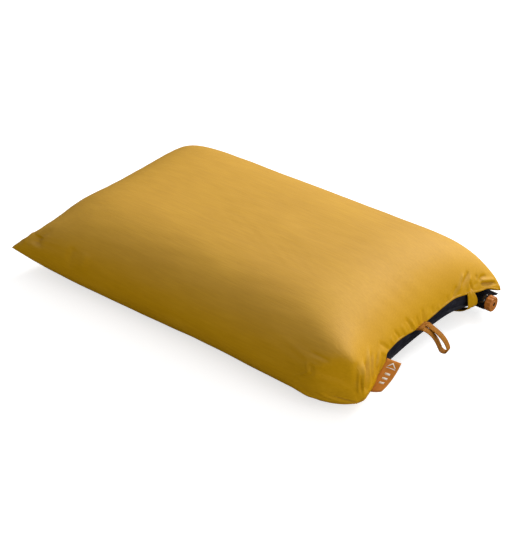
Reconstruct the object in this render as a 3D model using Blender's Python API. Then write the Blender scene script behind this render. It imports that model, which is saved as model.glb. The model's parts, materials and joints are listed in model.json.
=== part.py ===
"""Self-inflating camp pillow.

A slip-on fabric cover holds a foam-filled air bladder. The cover is a flattened fabric tube: its left end is sewn
shut, and its right end is a mouth with elastic hems, through which the bladder and its twist valve show. A webbing
pull loop and a folded label are sewn to the mouth.

Frame: origin on the floor under the middle of the pillow, +X towards the mouth, +Y towards the valve, +Z up.
Metres throughout.
"""

import math

import bmesh
import bpy
from mathutils import Matrix, Vector

MM = 0.001

# Driving dimensions of the inflated pillow.
HALF_LENGTH = 0.290
HALF_WIDTH = 0.175
CROWN = 0.124
END_PULL = 0.028  # how far the middle of each end sits inside the line between its corners
SIDE_PULL = 0.0077  # the same for the long sides
GAP = 0.3 * MM  # clearance between pieces that touch on the real pillow

# Height of the widest line around the pillow: along the sides, at the middle of each end, and at each corner.
RIM_SIDE = 0.040
RIM_END = 0.034
COVER_RIM = {(-1, -1): 0.026, (-1, 1): 0.028, (1, -1): 0.015, (1, 1): 0.031}
BLADDER_RIM = {(-1, -1): 0.028, (-1, 1): 0.028, (1, -1): 0.018, (1, 1): 0.0186}

# Powers that set how boxy the inflated shape is.
END_POWER, END_ROUND = 6.0, 0.53
SIDE_POWER, SIDE_ROUND = 4.0, 0.5
UNDER_END_POWER, UNDER_END_ROUND = 6.0, 0.6
UNDER_SIDE_POWER, UNDER_SIDE_ROUND = 8.0, 0.5
FLAT_DEPTH = 0.4 * MM  # pressing this much of the underside flat gives the face it rests on

# How far each corner is moved from the plain plan shape, as (x, y), keyed by the signs of x and y.
COVER_CORNERS = {
    (-1, -1): (-0.014, 0.010),
    (-1, 1): (-0.014, -0.010),
    (1, -1): (-0.014, 0.030),
    (1, 1): (-0.002, -0.004),
}
BLADDER_CORNERS = {
    (-1, -1): (0.010, 0.012),
    (-1, 1): (0.010, -0.012),
    (1, -1): (-0.018, 0.040),
    (1, 1): (-0.003, -0.006),
}
CORNER_POWER = 6

# Fabric thicknesses, made stouter than real cloth so that each sheet is a sound solid.
COVER_WALL = 1.2 * MM
BLADDER_WALL = 0.9 * MM
SEAM_HALF = 1.6 * MM  # half the thickness of the closed end seam
BLADDER_LEFT, BLADDER_RIGHT, BLADDER_HALF_WIDTH = 0.254, 0.257, 0.1592
FLANGE = 5.0 * MM  # width of the bladder's welded edge

# The mouth at the right end, as places across the width from -1 to 1.
MOUTH_NEAR, MOUTH_FAR = -0.46, 0.965
MOUTH_FADE = 0.05
UPPER_LIP_RISE = 17.0 * MM  # the upper lip's height above the rim
HOOD_LIP_RISE = 8.5 * MM  # the same over the valve
LOWER_LIP_SET_BACK = 0.150
UNDERSIDE_SEAM = 0.86
HEM_DROP = 4.6 * MM  # how far a hem stands past the edge of its panel
HEM_LAP = 3.6 * MM  # how far it laps back over the panel
HEM_WALL = 0.7 * MM
HEM_EASE = 0.45 * MM  # the hem's clearance from the panel it is folded over
ELASTIC_HEIGHT = 1.8 * MM

# The twist valve, on an axis along +X.
VALVE_Y, VALVE_Z = 0.143, 0.0215
VALVE_X = 0.2625  # the front face of the weld base
BASE_LENGTH = 13.0 * MM
BASE_HALF_WIDTH = 13.0 * MM
BASE_HALF_HEIGHT = 6.0 * MM
THREAD_LEAD = 4.0 * MM
VALVE_TURNS = 1.25


def quarter(u, v):
    """Which quarter of the plan a point is in, as the signs of x and y."""
    return (1 if u > 0 else -1, 1 if v > 0 else -1)


def profile(t, power, roundness):
    return max(0.0, 1.0 - abs(t) ** power) ** roundness


def profile_inverse(height, power, roundness):
    return (1.0 - min(1.0, max(0.0, height)) ** (1.0 / roundness)) ** (1.0 / power)


class Layer:
    """One of the nested pillow-shaped surfaces, from the outside of the cover in to the foam.

    Places on it are (u, v), each running from -1 to 1, along the length and across the width.
    """

    def __init__(self, left, right, half_width, inset, end_pull, corners, rim):
        self.left, self.right, self.half_width = left, right, half_width
        self.top, self.base = CROWN - inset, inset
        self.end_pull = end_pull
        self.corners, self.rim = corners, rim
        self.seam = max(0.15 * MM, SEAM_HALF - inset)
        self.valve_swell = 0.0

    def plan(self, u, v):
        """(x, y) of a point, with the ends and sides pulled in between the corners."""
        past_u, past_v = max(0.0, abs(u) - 1.0), max(0.0, abs(v) - 1.0)
        u, v = max(-1.0, min(1.0, u)), max(-1.0, min(1.0, v))
        half = self.right if u > 0 else self.left
        corner = self.corners[quarter(u, v)]
        weight = abs(u) ** CORNER_POWER * abs(v) ** CORNER_POWER
        x = half * u - self.end_pull * (1 - v * v) * u * abs(u) + corner[0] * weight
        y = self.half_width * v - SIDE_PULL * (1 - u * u) * v * abs(v) + corner[1] * weight
        return x + math.copysign(past_u, u), y + math.copysign(past_v, v)

    def rim_height(self, u, v):
        end = RIM_END + (self.rim[quarter(u, v)] - RIM_END) * v * v
        return RIM_SIDE + (end - RIM_SIDE) * u**4

    def over_valve(self, x, y):
        """How far a sheet stands off the rim to pass round the valve's weld base."""
        across = 1 - ((y - VALVE_Y) / (BASE_HALF_WIDTH + 2 * MM)) ** 2
        along = smooth((x - VALVE_X + BASE_LENGTH + 4 * MM) / (4 * MM))
        return self.valve_swell * along * max(0.0, across) ** 0.75

    def upper(self, u, v):
        x, y = self.plan(u, v)
        rim = self.rim_height(u, v) + self.seam
        swell = profile(u, END_POWER, END_ROUND) * profile(v, SIDE_POWER, SIDE_ROUND)
        return Vector((x, y, rim + max((self.top - rim) * swell, self.over_valve(x, y))))

    def lower(self, u, v):
        x, y = self.plan(u, v)
        depth = self.rim_height(u, v) - self.seam - self.base
        under_u = profile(u, UNDER_END_POWER, UNDER_END_ROUND)
        under_v = profile(v, UNDER_SIDE_POWER, UNDER_SIDE_ROUND)
        rise = depth * (1 - under_u * under_v)
        pressed = max(0.0, rise - FLAT_DEPTH) * depth / (depth - FLAT_DEPTH)
        return Vector((x, y, self.base + min(pressed, depth - self.over_valve(x, y))))

    def point(self, u, v, side):
        return self.upper(u, v) if side > 0 else self.lower(u, v)

    def upper_lip(self, v, rise):
        """The u at which the end of the upper surface stands this far above the rim."""
        rim = self.rim_height(1, v) + self.seam
        swell = rise / ((self.top - rim) * max(0.05, profile(v, SIDE_POWER, SIDE_ROUND)))
        return profile_inverse(swell, END_POWER, END_ROUND)


def cover_layer(inset):
    return Layer(
        HALF_LENGTH - inset, HALF_LENGTH - inset, HALF_WIDTH - inset, inset, END_PULL, COVER_CORNERS, COVER_RIM
    )


def bladder_layer(inset):
    """The bladder is square-ended and a little shorter than the cover, whose corners it leaves empty."""
    start = COVER_WALL + 1.0 * MM
    layer = Layer(
        BLADDER_LEFT - inset, BLADDER_RIGHT - inset, BLADDER_HALF_WIDTH - inset, start + inset, 0.0,
        BLADDER_CORNERS, BLADDER_RIM,
    )
    layer.valve_swell = BASE_HALF_HEIGHT + 1.3 * MM - inset
    return layer


def steps(low, high, count):
    return [low + (high - low) * i / count for i in range(count + 1)]


def eased(count):
    """Places from -1 to 1, closer together towards both ends."""
    return [math.sin(math.pi / 2 * t) for t in steps(-1, 1, count)]


def smooth(t):
    t = min(1.0, max(0.0, t))
    return t * t * (3 - 2 * t)


def mouth_open(v):
    """1 across the mouth and 0 where the end is sewn shut."""
    return smooth((v - MOUTH_NEAR) / MOUTH_FADE) * smooth((MOUTH_FAR - v) / MOUTH_FADE)


def make_object(name, bm, material, location=(0, 0, 0), parent=None, smooth_angle=40):
    bmesh.ops.recalc_face_normals(bm, faces=bm.faces)
    mesh = bpy.data.meshes.new(name)
    bm.to_mesh(mesh)
    bm.free()
    mesh.shade_smooth()
    mesh.set_sharp_from_angle(angle=math.radians(smooth_angle))
    obj = bpy.data.objects.new(name, mesh)
    obj.location = location
    obj.parent = parent
    mesh.materials.append(material)
    bpy.context.scene.collection.objects.link(obj)
    return obj


def make_material(name, color, roughness, metallic=0.0):
    material = bpy.data.materials.new(name)
    material.use_nodes = True
    shader = material.node_tree.nodes["Principled BSDF"]
    shader.inputs["Base Color"].default_value = (*color, 1.0)
    shader.inputs["Roughness"].default_value = roughness
    shader.inputs["Metallic"].default_value = metallic
    material.diffuse_color = (*color, 1.0)
    return material


def add_grid(bm, rows, flip=False):
    """Quads over a list of equally long rows of points. Returns the rows of vertices."""
    grid = [[bm.verts.new(p) for p in row] for row in rows]
    for a, b in zip(grid, grid[1:]):
        for j in range(len(a) - 1):
            quad = (a[j], b[j], b[j + 1], a[j + 1])
            bm.faces.new(quad[::-1] if flip else quad)
    return grid


def border(grid):
    """The vertices round the edge of a grid, in order."""
    top, bottom = grid[0], grid[-1]
    right = [row[-1] for row in grid[1:-1]]
    left = [row[0] for row in grid[1:-1]]
    return top + right + bottom[::-1] + left[::-1]


def sheet(outer, inner):
    """A thin closed solid between two matching grids of points."""
    bm = bmesh.new()
    rims = [border(add_grid(bm, outer)), border(add_grid(bm, inner, flip=True))]
    count = len(rims[0])
    for k in range(count):
        after = (k + 1) % count
        bm.faces.new((rims[0][k], rims[0][after], rims[1][after], rims[1][k]))
    return bm


def sweep(sections, closed_ends=True):
    """A solid through a row of matching closed outlines."""
    bm = bmesh.new()
    rings = [[bm.verts.new(p) for p in section] for section in sections]
    count = len(rings[0])
    for a, b in zip(rings, rings[1:]):
        for k in range(count):
            after = (k + 1) % count
            bm.faces.new((a[k], a[after], b[after], b[k]))
    if closed_ends:
        bm.faces.new(rings[0][::-1])
        bm.faces.new(rings[-1])
    else:
        for k in range(count):
            after = (k + 1) % count
            bm.faces.new((rings[-1][k], rings[-1][after], rings[0][after], rings[0][k]))
    return bm


def turned(outline, segments, radius_at=None):
    """A solid turned about the X axis from a closed outline of (x, radius) points.

    radius_at(x, radius, angle) may change the radius, for flats, scallops and threads.
    """
    radius_at = radius_at or (lambda x, radius, angle: radius)
    sections = []
    for k in range(segments):
        angle = 2 * math.pi * k / segments
        direction = Vector((0, math.cos(angle), math.sin(angle)))
        ring = []
        for x, radius in outline:
            ring.append(Vector((x, 0, 0)) + direction * radius_at(x, radius, angle))
        sections.append(ring)
    bm = sweep(sections, closed_ends=False)
    bmesh.ops.remove_doubles(bm, verts=bm.verts, dist=1e-6)
    bmesh.ops.dissolve_degenerate(bm, edges=bm.edges, dist=1e-6)
    return bm


# ---------------------------------------------------------------- the cover

LENGTH_STATIONS = eased(22)
HEM_NEAR, HEM_FAR = -0.41, 0.875
STRAP_NEAR, STRAP_FAR = 0.635, 0.70
MOUTH_STATIONS = [MOUTH_NEAR, HEM_NEAR, -0.32, -0.16, 0.0, 0.16, 0.32, 0.46, 0.56, STRAP_NEAR, STRAP_FAR]
ELASTIC_FAR = 0.82
MOUTH_STATIONS += [0.76, ELASTIC_FAR, HEM_FAR, 0.92, MOUTH_FAR]
WIDTH_STATIONS = [-1.0, -0.985, -0.94, -0.86, -0.74, -0.6] + MOUTH_STATIONS + [1.0]
UNDER_STATIONS = [1.0, 0.985, 0.93, UNDERSIDE_SEAM]


def upper_lip_u(v):
    rise = UPPER_LIP_RISE + (HOOD_LIP_RISE - UPPER_LIP_RISE) * smooth((v - 0.5) / 0.3)
    return cover_layer(0).upper_lip(v, rise * mouth_open(v))


def lower_lip_u(v):
    return 1.0 - LOWER_LIP_SET_BACK * mouth_open(v)


def cover_rows(layer, places, lip_u):
    """Rows along the length, one for each (side, v) place round the cross-section."""
    rows = []
    for side, v in places:
        end = lip_u[side](v)
        row = [layer.point(u if u < 0 else u * end, v, side) for u in LENGTH_STATIONS]
        rows.append(row)
    return rows


def cover_panel(places):
    lips = {1: upper_lip_u, -1: lower_lip_u}
    outer = cover_rows(cover_layer(0), places, lips)
    inner = cover_rows(cover_layer(COVER_WALL), places, lips)
    return sheet(outer, inner)


def make_cover(material):
    """The upper panel wraps round both long sides to seams on the underside, which the lower panel joins."""
    near_under = [(-1, -v) for v in reversed(UNDER_STATIONS)]
    far_under = [(-1, v) for v in UNDER_STATIONS]
    over = [(1, v) for v in WIDTH_STATIONS]
    make_object("cover_top_panel", cover_panel(near_under + over + far_under), material)
    inside = [v for v in WIDTH_STATIONS if abs(v) < UNDERSIDE_SEAM - 0.01]
    edge = UNDERSIDE_SEAM - 0.004
    below = [(-1, v) for v in [-edge] + inside + [edge]]
    make_object("cover_bottom_panel", cover_panel(below), material)


def lip_frames(side, first, last):
    """(edge point, direction past the edge, outward normal) along a lip of the mouth, mid-wall."""
    lip_u = {1: upper_lip_u, -1: lower_lip_u}[side]
    before = LENGTH_STATIONS[-2]
    frames = []
    for v in [v for v in MOUTH_STATIONS if first <= v <= last]:
        edge, back, inner = (
            cover_layer(0).point(lip_u(v), v, side),
            cover_layer(0).point(before * lip_u(v), v, side),
            cover_layer(COVER_WALL).point(lip_u(v), v, side),
        )
        out = (edge - back).normalized()
        along = (
            cover_layer(0).point(lip_u(v), v + 0.02, side)
            - cover_layer(0).point(lip_u(v), v - 0.02, side)
        )
        normal = along.cross(out).normalized() * side
        normal = normal if normal.dot(edge - inner) > 0 else -normal
        frames.append(((edge + inner) / 2, out, normal))
    return frames


def strip(frames, outline):
    """A solid swept along a lip from an outline of (distance past the edge, distance outwards)."""
    sections = []
    for edge, out, normal in frames:
        sections.append([edge + out * p + normal * q for p, q in outline])
    return sweep(sections)


def make_hems(fabric, elastic):
    """Each lip of the mouth has a folded hem round its raw edge, with an elastic tape inside the fold."""
    inside = COVER_WALL / 2 + HEM_EASE
    outside = inside + HEM_WALL
    fold = [
        (-HEM_LAP, inside), (-HEM_LAP, outside), (HEM_DROP - HEM_WALL, outside), (HEM_DROP, inside),
        (HEM_DROP, -inside), (HEM_DROP - HEM_WALL, -outside), (-HEM_LAP, -outside), (-HEM_LAP, -inside),
        (HEM_DROP - HEM_WALL, -inside), (HEM_DROP - HEM_WALL, inside),
    ]
    end = HEM_DROP - HEM_WALL - GAP
    start = end - ELASTIC_HEIGHT
    half = inside - GAP
    tape = [(start, -half), (start, half), (end, half), (end, -half)]
    for name, side in (("upper", 1), ("lower", -1)):
        make_object(f"mouth_hem_{name}", strip(lip_frames(side, HEM_NEAR, HEM_FAR), fold), fabric)
        make_object(f"mouth_elastic_{name}", strip(lip_frames(side, HEM_NEAR, ELASTIC_FAR), tape), elastic)


# ---------------------------------------------------------------- the bladder and its foam

BLADDER_STATIONS = 16


def bladder_sheet(side):
    """One welded sheet: half of the bladder with a flat flange round it."""
    past = FLANGE
    along = [-1 - past] + eased(BLADDER_STATIONS + 4) + [1 + past]
    across = [-1 - past] + eased(BLADDER_STATIONS) + [1 + past]
    rows = []
    for inset in (0.0, BLADDER_WALL):
        layer = bladder_layer(inset)
        # The flanges of the two sheets lie against each other, a gap apart.
        layer.seam = (BLADDER_WALL - inset) + GAP / 2
        rows.append([[layer.point(u, v, side) for u in along] for v in across])
    return sheet(rows[0], rows[1])


def make_bladder(material, cutter):
    for name, side in (("top", 1), ("bottom", -1)):
        obj = make_object(f"bladder_{name}_sheet", bladder_sheet(side), material)
        cut_with(obj, cutter)


FOAM_REACH = 0.94  # the foam is cut short of the welded edges
FOAM_CHANNELS = 4
CHANNEL_RADIUS = 0.014
CHANNEL_PITCH = 0.100


def make_foam(material):
    """The open-cell core, with round channels cut through it from side to side."""
    layer = bladder_layer(BLADDER_WALL + 0.9 * MM)
    layer.valve_swell = 0.0
    along = [u for u in eased(BLADDER_STATIONS + 4) if abs(u) < FOAM_REACH]
    across = [v for v in eased(BLADDER_STATIONS) if abs(v) < FOAM_REACH]
    bm = bmesh.new()
    rims = []
    for side in (1, -1):
        rows = [[layer.point(u, v, side) for u in along] for v in across]
        rims.append(border(add_grid(bm, rows, flip=side < 0)))
    total = len(rims[0])
    for k in range(total):
        after = (k + 1) % total
        bm.faces.new((rims[0][k], rims[0][after], rims[1][after], rims[1][k]))
    foam = make_object("foam_core", bm, material)
    for k in range(FOAM_CHANNELS):
        x = (k - (FOAM_CHANNELS - 1) / 2) * CHANNEL_PITCH
        cutter_mesh = bmesh.new()
        bmesh.ops.create_cone(
            cutter_mesh, cap_ends=True, segments=14, radius1=CHANNEL_RADIUS, radius2=CHANNEL_RADIUS,
            depth=3 * HALF_WIDTH, matrix=Matrix.Rotation(math.pi / 2, 4, "X"),
        )
        cutter = make_object(f"foam_channel_cutter_{k}", cutter_mesh, material, (x, 0, 0.055))
        hide_helper(cutter)
        cut_with(foam, cutter)
    return foam


def hide_helper(obj):
    obj.hide_render = True
    obj.display_type = "WIRE"


def cut_with(obj, cutter):
    modifier = obj.modifiers.new("cut_" + cutter.name, "BOOLEAN")
    modifier.operation = "DIFFERENCE"
    modifier.object = cutter
    modifier.solver = "EXACT"


# ---------------------------------------------------------------- the twist valve

STEM_RADIUS = 4.2 * MM
BORE_RADIUS = 3.1 * MM
COLLAR_RADIUS = 11.3 * MM
COLLAR_FLAT = 10.9 * MM
COLLAR_LENGTH = 20.0 * MM
SPIGOT_ROOT = 6.0 * MM
THREAD_DEPTH = 0.7 * MM
SPIGOT_LENGTH = 8.0 * MM
SEAL_LAND = 6.8 * MM
KNOB_RADIUS = 10.8 * MM
KNOB_LENGTH = 9.6 * MM
KNOB_BORE = 7.0 * MM
KNOB_THREAD_CREST = 6.35 * MM
KNOB_FACE = 2.0 * MM
MOUTHPIECE_RADIUS = 3.0 * MM
PLUG_RADIUS = 2.4 * MM
SCALLOPS = 12
TURN_SEGMENTS = 36


def weld_base(extra=0.0):
    """A boat-shaped block between the bladder's sheets: deep in the middle, sharp at both ends."""
    sections = []
    for x in (-BASE_LENGTH - extra, extra):
        ring = []
        for k in range(24):
            angle = 2 * math.pi * k / 24
            y = (BASE_HALF_WIDTH + extra) * math.cos(angle)
            z = (BASE_HALF_HEIGHT + extra) * math.copysign(abs(math.sin(angle)) ** 1.5, math.sin(angle))
            ring.append(Vector((x, y, z)))
        sections.append(ring)
    return sweep(sections)


def bored_weld_base(material, axis):
    base = make_object("valve_weld_base", weld_base(), material, parent=axis)
    bm = bmesh.new()
    bmesh.ops.create_cone(
        bm, cap_ends=True, segments=TURN_SEGMENTS, radius1=STEM_RADIUS + GAP, radius2=STEM_RADIUS + GAP,
        depth=0.08, matrix=Matrix.Rotation(math.pi / 2, 4, "Y"),
    )
    cutter = make_object("valve_bore_cutter", bm, material, parent=axis)
    hide_helper(cutter)
    cut_with(base, cutter)


def thread_wave(x, angle, offset=0.0):
    """Height of a rounded thread form, from 0 to 1, along its helix."""
    turn = (x / THREAD_LEAD - angle / (2 * math.pi) + offset) % 1.0
    distance = abs(turn - 0.5) * THREAD_LEAD
    return smooth((0.95 * MM - distance) / (0.5 * MM))


def spigot_radius(x, radius, angle):
    """Flats on the collar and a thread on the spigot."""
    if abs(radius - COLLAR_RADIUS) < 1e-6:
        within = (angle + math.pi / 6) % (math.pi / 3) - math.pi / 6
        return min(COLLAR_RADIUS, COLLAR_FLAT / math.cos(within))
    thread_start = COLLAR_LENGTH + 2.6 * MM
    thread_end = COLLAR_LENGTH + SPIGOT_LENGTH - 0.4 * MM
    if abs(radius - SPIGOT_ROOT) < 1e-6 and thread_start < x < thread_end:
        return radius + THREAD_DEPTH * thread_wave(x, angle)
    return radius


def valve_body():
    tail = -BASE_LENGTH + 1.5 * MM
    front = COLLAR_LENGTH + SPIGOT_LENGTH
    land_end = COLLAR_LENGTH + 2.2 * MM
    outline = [
        (tail, BORE_RADIUS), (tail, STEM_RADIUS), (GAP, STEM_RADIUS), (GAP, COLLAR_RADIUS - 0.8 * MM),
        (1.0 * MM, COLLAR_RADIUS), (COLLAR_LENGTH - 0.8 * MM, COLLAR_RADIUS),
        (COLLAR_LENGTH, COLLAR_RADIUS - 0.9 * MM), (COLLAR_LENGTH, SEAL_LAND), (land_end, SEAL_LAND),
        (land_end + 0.2 * MM, SPIGOT_ROOT),
    ]
    outline += [(x, SPIGOT_ROOT) for x in steps(land_end + 0.3 * MM, front, 18)]
    outline += [(front, 4.4 * MM), (front - 3.0 * MM, 4.4 * MM), (front - 3.0 * MM, BORE_RADIUS)]
    return turned(outline, TURN_SEGMENTS, spigot_radius)


def valve_plug():
    """A spoked insert pressed into the spigot's mouth, whose centre pin stops the knob's mouthpiece."""
    front = COLLAR_LENGTH + SPIGOT_LENGTH
    seat, back = 4.4 * MM - 0.1 * MM, front - 3.0 * MM + GAP
    ring = turned([(back, 3.3 * MM), (back, seat), (front - 0.2 * MM, seat), (front - 0.2 * MM, 3.3 * MM)], 24)
    tip = front + KNOB_FACE + 0.2 * MM
    groove = tip - 1.25 * MM
    pin = turned(
        [
            (back, 0), (back, 1.5 * MM), (front, 1.5 * MM), (front, PLUG_RADIUS), (groove - 0.45 * MM, PLUG_RADIUS),
            (groove - 0.45 * MM, PLUG_RADIUS - 0.55 * MM), (groove + 0.45 * MM, PLUG_RADIUS - 0.55 * MM),
            (groove + 0.45 * MM, PLUG_RADIUS), (tip - 0.3 * MM, PLUG_RADIUS), (tip, PLUG_RADIUS - 0.4 * MM), (tip, 0),
        ],
        24,
    )
    return ring, pin, groove


def knob_radius(x, radius, angle):
    """Scallops round the grip and a thread in the bore, half a lead from the spigot's."""
    if radius > KNOB_RADIUS - 0.9 * MM:
        return radius - 0.75 * MM * smooth(0.5 - 0.75 * math.cos(SCALLOPS * angle))
    thread_start = COLLAR_LENGTH + 3.6 * MM
    thread_end = COLLAR_LENGTH + SPIGOT_LENGTH - 0.6 * MM
    if abs(radius - KNOB_BORE) < 1e-6 and thread_start < x < thread_end:
        return radius - (KNOB_BORE - KNOB_THREAD_CREST) * thread_wave(x, angle, 0.5)
    return radius


def valve_knob():
    start = COLLAR_LENGTH + 0.8 * MM
    ceiling = COLLAR_LENGTH + SPIGOT_LENGTH + 0.4 * MM
    face = ceiling + KNOB_FACE
    groove = start + 1.0 * MM
    outline = [
        (face, MOUTHPIECE_RADIUS), (face, 4.6 * MM), (face - 0.9 * MM, 5.2 * MM), (face - 0.9 * MM, 7.2 * MM),
        (face - 0.1 * MM, KNOB_RADIUS - 1.2 * MM), (face - 1.0 * MM, KNOB_RADIUS), (start + 1.2 * MM, KNOB_RADIUS),
        (start, KNOB_RADIUS - 0.8 * MM), (start, KNOB_BORE + 0.1 * MM), (groove - 0.5 * MM, KNOB_BORE + 0.1 * MM),
        (groove - 0.5 * MM, KNOB_BORE + 0.7 * MM), (groove + 0.5 * MM, KNOB_BORE + 0.7 * MM),
        (groove + 0.5 * MM, KNOB_BORE),
    ]
    outline += [(x, KNOB_BORE) for x in steps(groove + 0.8 * MM, ceiling, 18)]
    outline += [(ceiling, MOUTHPIECE_RADIUS)]
    return turned(outline, 2 * TURN_SEGMENTS, knob_radius), groove


def o_ring(x, centre_radius, thickness):
    outline = []
    for k in range(8):
        angle = 2 * math.pi * (k + 0.5) / 8
        outline.append((x + thickness / 2 * math.cos(angle), centre_radius + thickness / 2 * math.sin(angle)))
    return turned(outline, TURN_SEGMENTS)


def make_valve(black, orange, rubber):
    axis = bpy.data.objects.new("valve_axis", None)
    axis.location = (VALVE_X, VALVE_Y, VALVE_Z)
    bpy.context.scene.collection.objects.link(axis)
    bored_weld_base(black, axis)
    make_object("valve_body", valve_body(), black, parent=axis)
    ring, pin, groove = valve_plug()
    insert = make_object("valve_plug", ring, black, parent=axis)
    pin_tool = make_object("valve_pin_shape", pin, black, parent=axis)
    hide_helper(pin_tool)
    join_with(insert, pin_tool)
    back = COLLAR_LENGTH + SPIGOT_LENGTH - 3.0 * MM + GAP
    for k in range(3):
        spoke = bmesh.new()
        bmesh.ops.create_cube(spoke, size=1.0)
        bmesh.ops.scale(spoke, vec=(1.6 * MM, 3.2 * MM, 1.0 * MM), verts=spoke.verts)
        bmesh.ops.translate(spoke, vec=(back + 1.1 * MM, 2.4 * MM, 0), verts=spoke.verts)
        bmesh.ops.rotate(spoke, matrix=Matrix.Rotation(2 * math.pi * k / 3, 3, "X"), verts=spoke.verts)
        tool = make_object(f"valve_spoke_shape_{k}", spoke, black, parent=axis)
        hide_helper(tool)
        join_with(insert, tool)
    make_object("plug_o_ring", o_ring(groove, PLUG_RADIUS - 0.05 * MM, 0.8 * MM), rubber, parent=axis)
    knob, knob_groove = valve_knob()
    make_object("knob_o_ring", o_ring(knob_groove, KNOB_BORE + 0.25 * MM, 0.8 * MM), rubber, parent=axis)
    make_object("valve_knob", knob, orange, parent=axis)


def join_with(obj, tool):
    modifier = obj.modifiers.new("join_" + tool.name, "BOOLEAN")
    modifier.operation = "UNION"
    modifier.object = tool
    modifier.solver = "EXACT"


def valve_clearance(material):
    """The pocket that the bladder's sheets leave for the weld base."""
    cutter = make_object(
        "valve_pocket_cutter", weld_base(GAP), material, (VALVE_X, VALVE_Y, VALVE_Z)
    )
    hide_helper(cutter)
    return cutter


# ---------------------------------------------------------------- trim sewn to the mouth

LOOP_ROOT = Vector((0.2665, 0.010, 0.0475))
LOOP_DROOP = math.radians(43)
LOOP_YAW = math.radians(6)
LOOP_LENGTH = 0.045
LOOP_BELLY = 0.0052
LOOP_WIDTH = 0.009
LOOP_THICKNESS = 1.3 * MM

LABEL_TOP = Vector((0.2732, -0.0865, 0.0525))
LABEL_FOOT = Vector((0.2760, -0.1190, 0.0225))
LABEL_WIDTH = 0.020
LABEL_OUT = Vector((1.0, 0.0, -0.25))
LABEL_LAYER = 0.5 * MM
LABEL_OPENING = 0.5 * MM

STRAP_THICKNESS = 0.8 * MM
STRAP_BENDS = [(0.2690, 0.0300), (0.2665, 0.0190)]  # (x, z) between the two lips


def loop_path():
    """Centre line of the webbing from its upper end, out round the bend and back, as (out, up) pairs."""
    bend = LOOP_BELLY
    straight = LOOP_LENGTH - bend
    closed = LOOP_THICKNESS / 2 + GAP / 2
    upper = []
    for t in steps(0, 1, 12):
        upper.append((straight * t, closed + (bend - closed) * smooth(t * 1.15)))
    turn = []
    for angle in steps(math.pi / 2, -math.pi / 2, 10)[1:-1]:
        turn.append((straight + bend * math.cos(angle), bend * math.sin(angle)))
    lower = [(out, -up) for out, up in reversed(upper)]
    return upper + turn + lower


def ribbon(path, thickness, width):
    """A tape of even thickness along a path in the XZ plane, its width along Y."""
    sections = []
    for k, (out, up) in enumerate(path):
        before, after = path[max(0, k - 1)], path[min(len(path) - 1, k + 1)]
        tangent = Vector((after[0] - before[0], 0, after[1] - before[1])).normalized()
        normal = Vector((-tangent.z, 0, tangent.x)) * thickness / 2
        side = Vector((0, width / 2, 0))
        centre = Vector((out, 0, up))
        sections.append([centre + normal + side, centre + normal - side, centre - normal - side, centre - normal + side])
    return sweep(sections)


def make_pull_loop(material):
    loop = make_object("pull_loop", ribbon(loop_path(), LOOP_THICKNESS, LOOP_WIDTH), material, LOOP_ROOT)
    loop.rotation_euler = (0, LOOP_DROOP, LOOP_YAW)


def make_label(material):
    """A tape folded double, its fold at the free edge and both ends at the seam."""
    length = (LABEL_FOOT - LABEL_TOP).length
    half = (LABEL_LAYER + LABEL_OPENING) / 2
    path = [(out, half) for out in steps(0, LABEL_WIDTH - half, 4)]
    for angle in steps(math.pi / 2, -math.pi / 2, 6)[1:-1]:
        path.append((LABEL_WIDTH - half + half * math.cos(angle), half * math.sin(angle)))
    path += [(out, -half) for out in steps(LABEL_WIDTH - half, 0, 4)]
    label = make_object("side_label", ribbon(path, LABEL_LAYER, length), material)
    down = (LABEL_FOOT - LABEL_TOP).normalized()
    out = (LABEL_OUT - down * LABEL_OUT.dot(down)).normalized()
    axes = Matrix((out, -down, out.cross(-down))).transposed()
    label.location = (LABEL_TOP + LABEL_FOOT) / 2
    label.rotation_euler = axes.to_euler()


def make_strap(material):
    """A short strap that ties the two lips together between the mouth and the valve's opening."""
    reach = COVER_WALL / 2 + HEM_EASE + HEM_WALL + GAP
    edges = []
    for upper, lower in zip(lip_frames(1, STRAP_NEAR, STRAP_FAR), lip_frames(-1, STRAP_NEAR, STRAP_FAR)):
        edge, out, normal = upper
        path = [edge + out * p + normal * reach for p in (-HEM_LAP, 0.0, HEM_DROP)]
        path += [Vector((x, edge.y, z)) for x, z in STRAP_BENDS]
        edge, out, normal = lower
        path += [edge + out * p + normal * reach for p in (HEM_DROP, 0.0, -HEM_LAP)]
        edges.append(path)
    sections = []
    for k, (near, far) in enumerate(zip(*edges)):
        before, after = max(0, k - 1), min(len(edges[0]) - 1, k + 1)
        tangent = (edges[0][after] - edges[0][before]).normalized()
        away = tangent.cross(far - near).normalized() * STRAP_THICKNESS
        sections.append([near, far, far + away, near + away])
    make_object("mouth_bridge_strap", sweep(sections), material)


def build():
    for obj in list(bpy.data.objects):
        bpy.data.objects.remove(obj)
    mustard = make_material("mustard_knit", (0.60, 0.33, 0.045), 0.85)
    elastic = make_material("elastic", (0.75, 0.72, 0.66), 0.8)
    charcoal = make_material("charcoal_coated_fabric", (0.035, 0.036, 0.045), 0.5)
    foam = make_material("foam", (0.80, 0.74, 0.55), 0.95)
    black = make_material("black_plastic", (0.012, 0.012, 0.013), 0.25)
    orange = make_material("orange_plastic", (0.62, 0.20, 0.035), 0.4)
    rubber = make_material("seal_rubber", (0.03, 0.03, 0.03), 0.6)
    webbing = make_material("orange_webbing", (0.55, 0.21, 0.03), 0.8)
    make_cover(mustard)
    make_hems(mustard, elastic)
    make_strap(mustard)
    make_bladder(charcoal, valve_clearance(charcoal))
    make_foam(foam)
    make_valve(black, orange, rubber)
    make_pull_loop(webbing)
    make_label(webbing)


build()
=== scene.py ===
"""How the camp pillow looks: its cloth, webbing, plastic and light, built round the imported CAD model."""

import json
import math

import bmesh
import bpy
import numpy as np
from mathutils import Matrix, Vector
from mathutils.bvhtree import BVHTree


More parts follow.
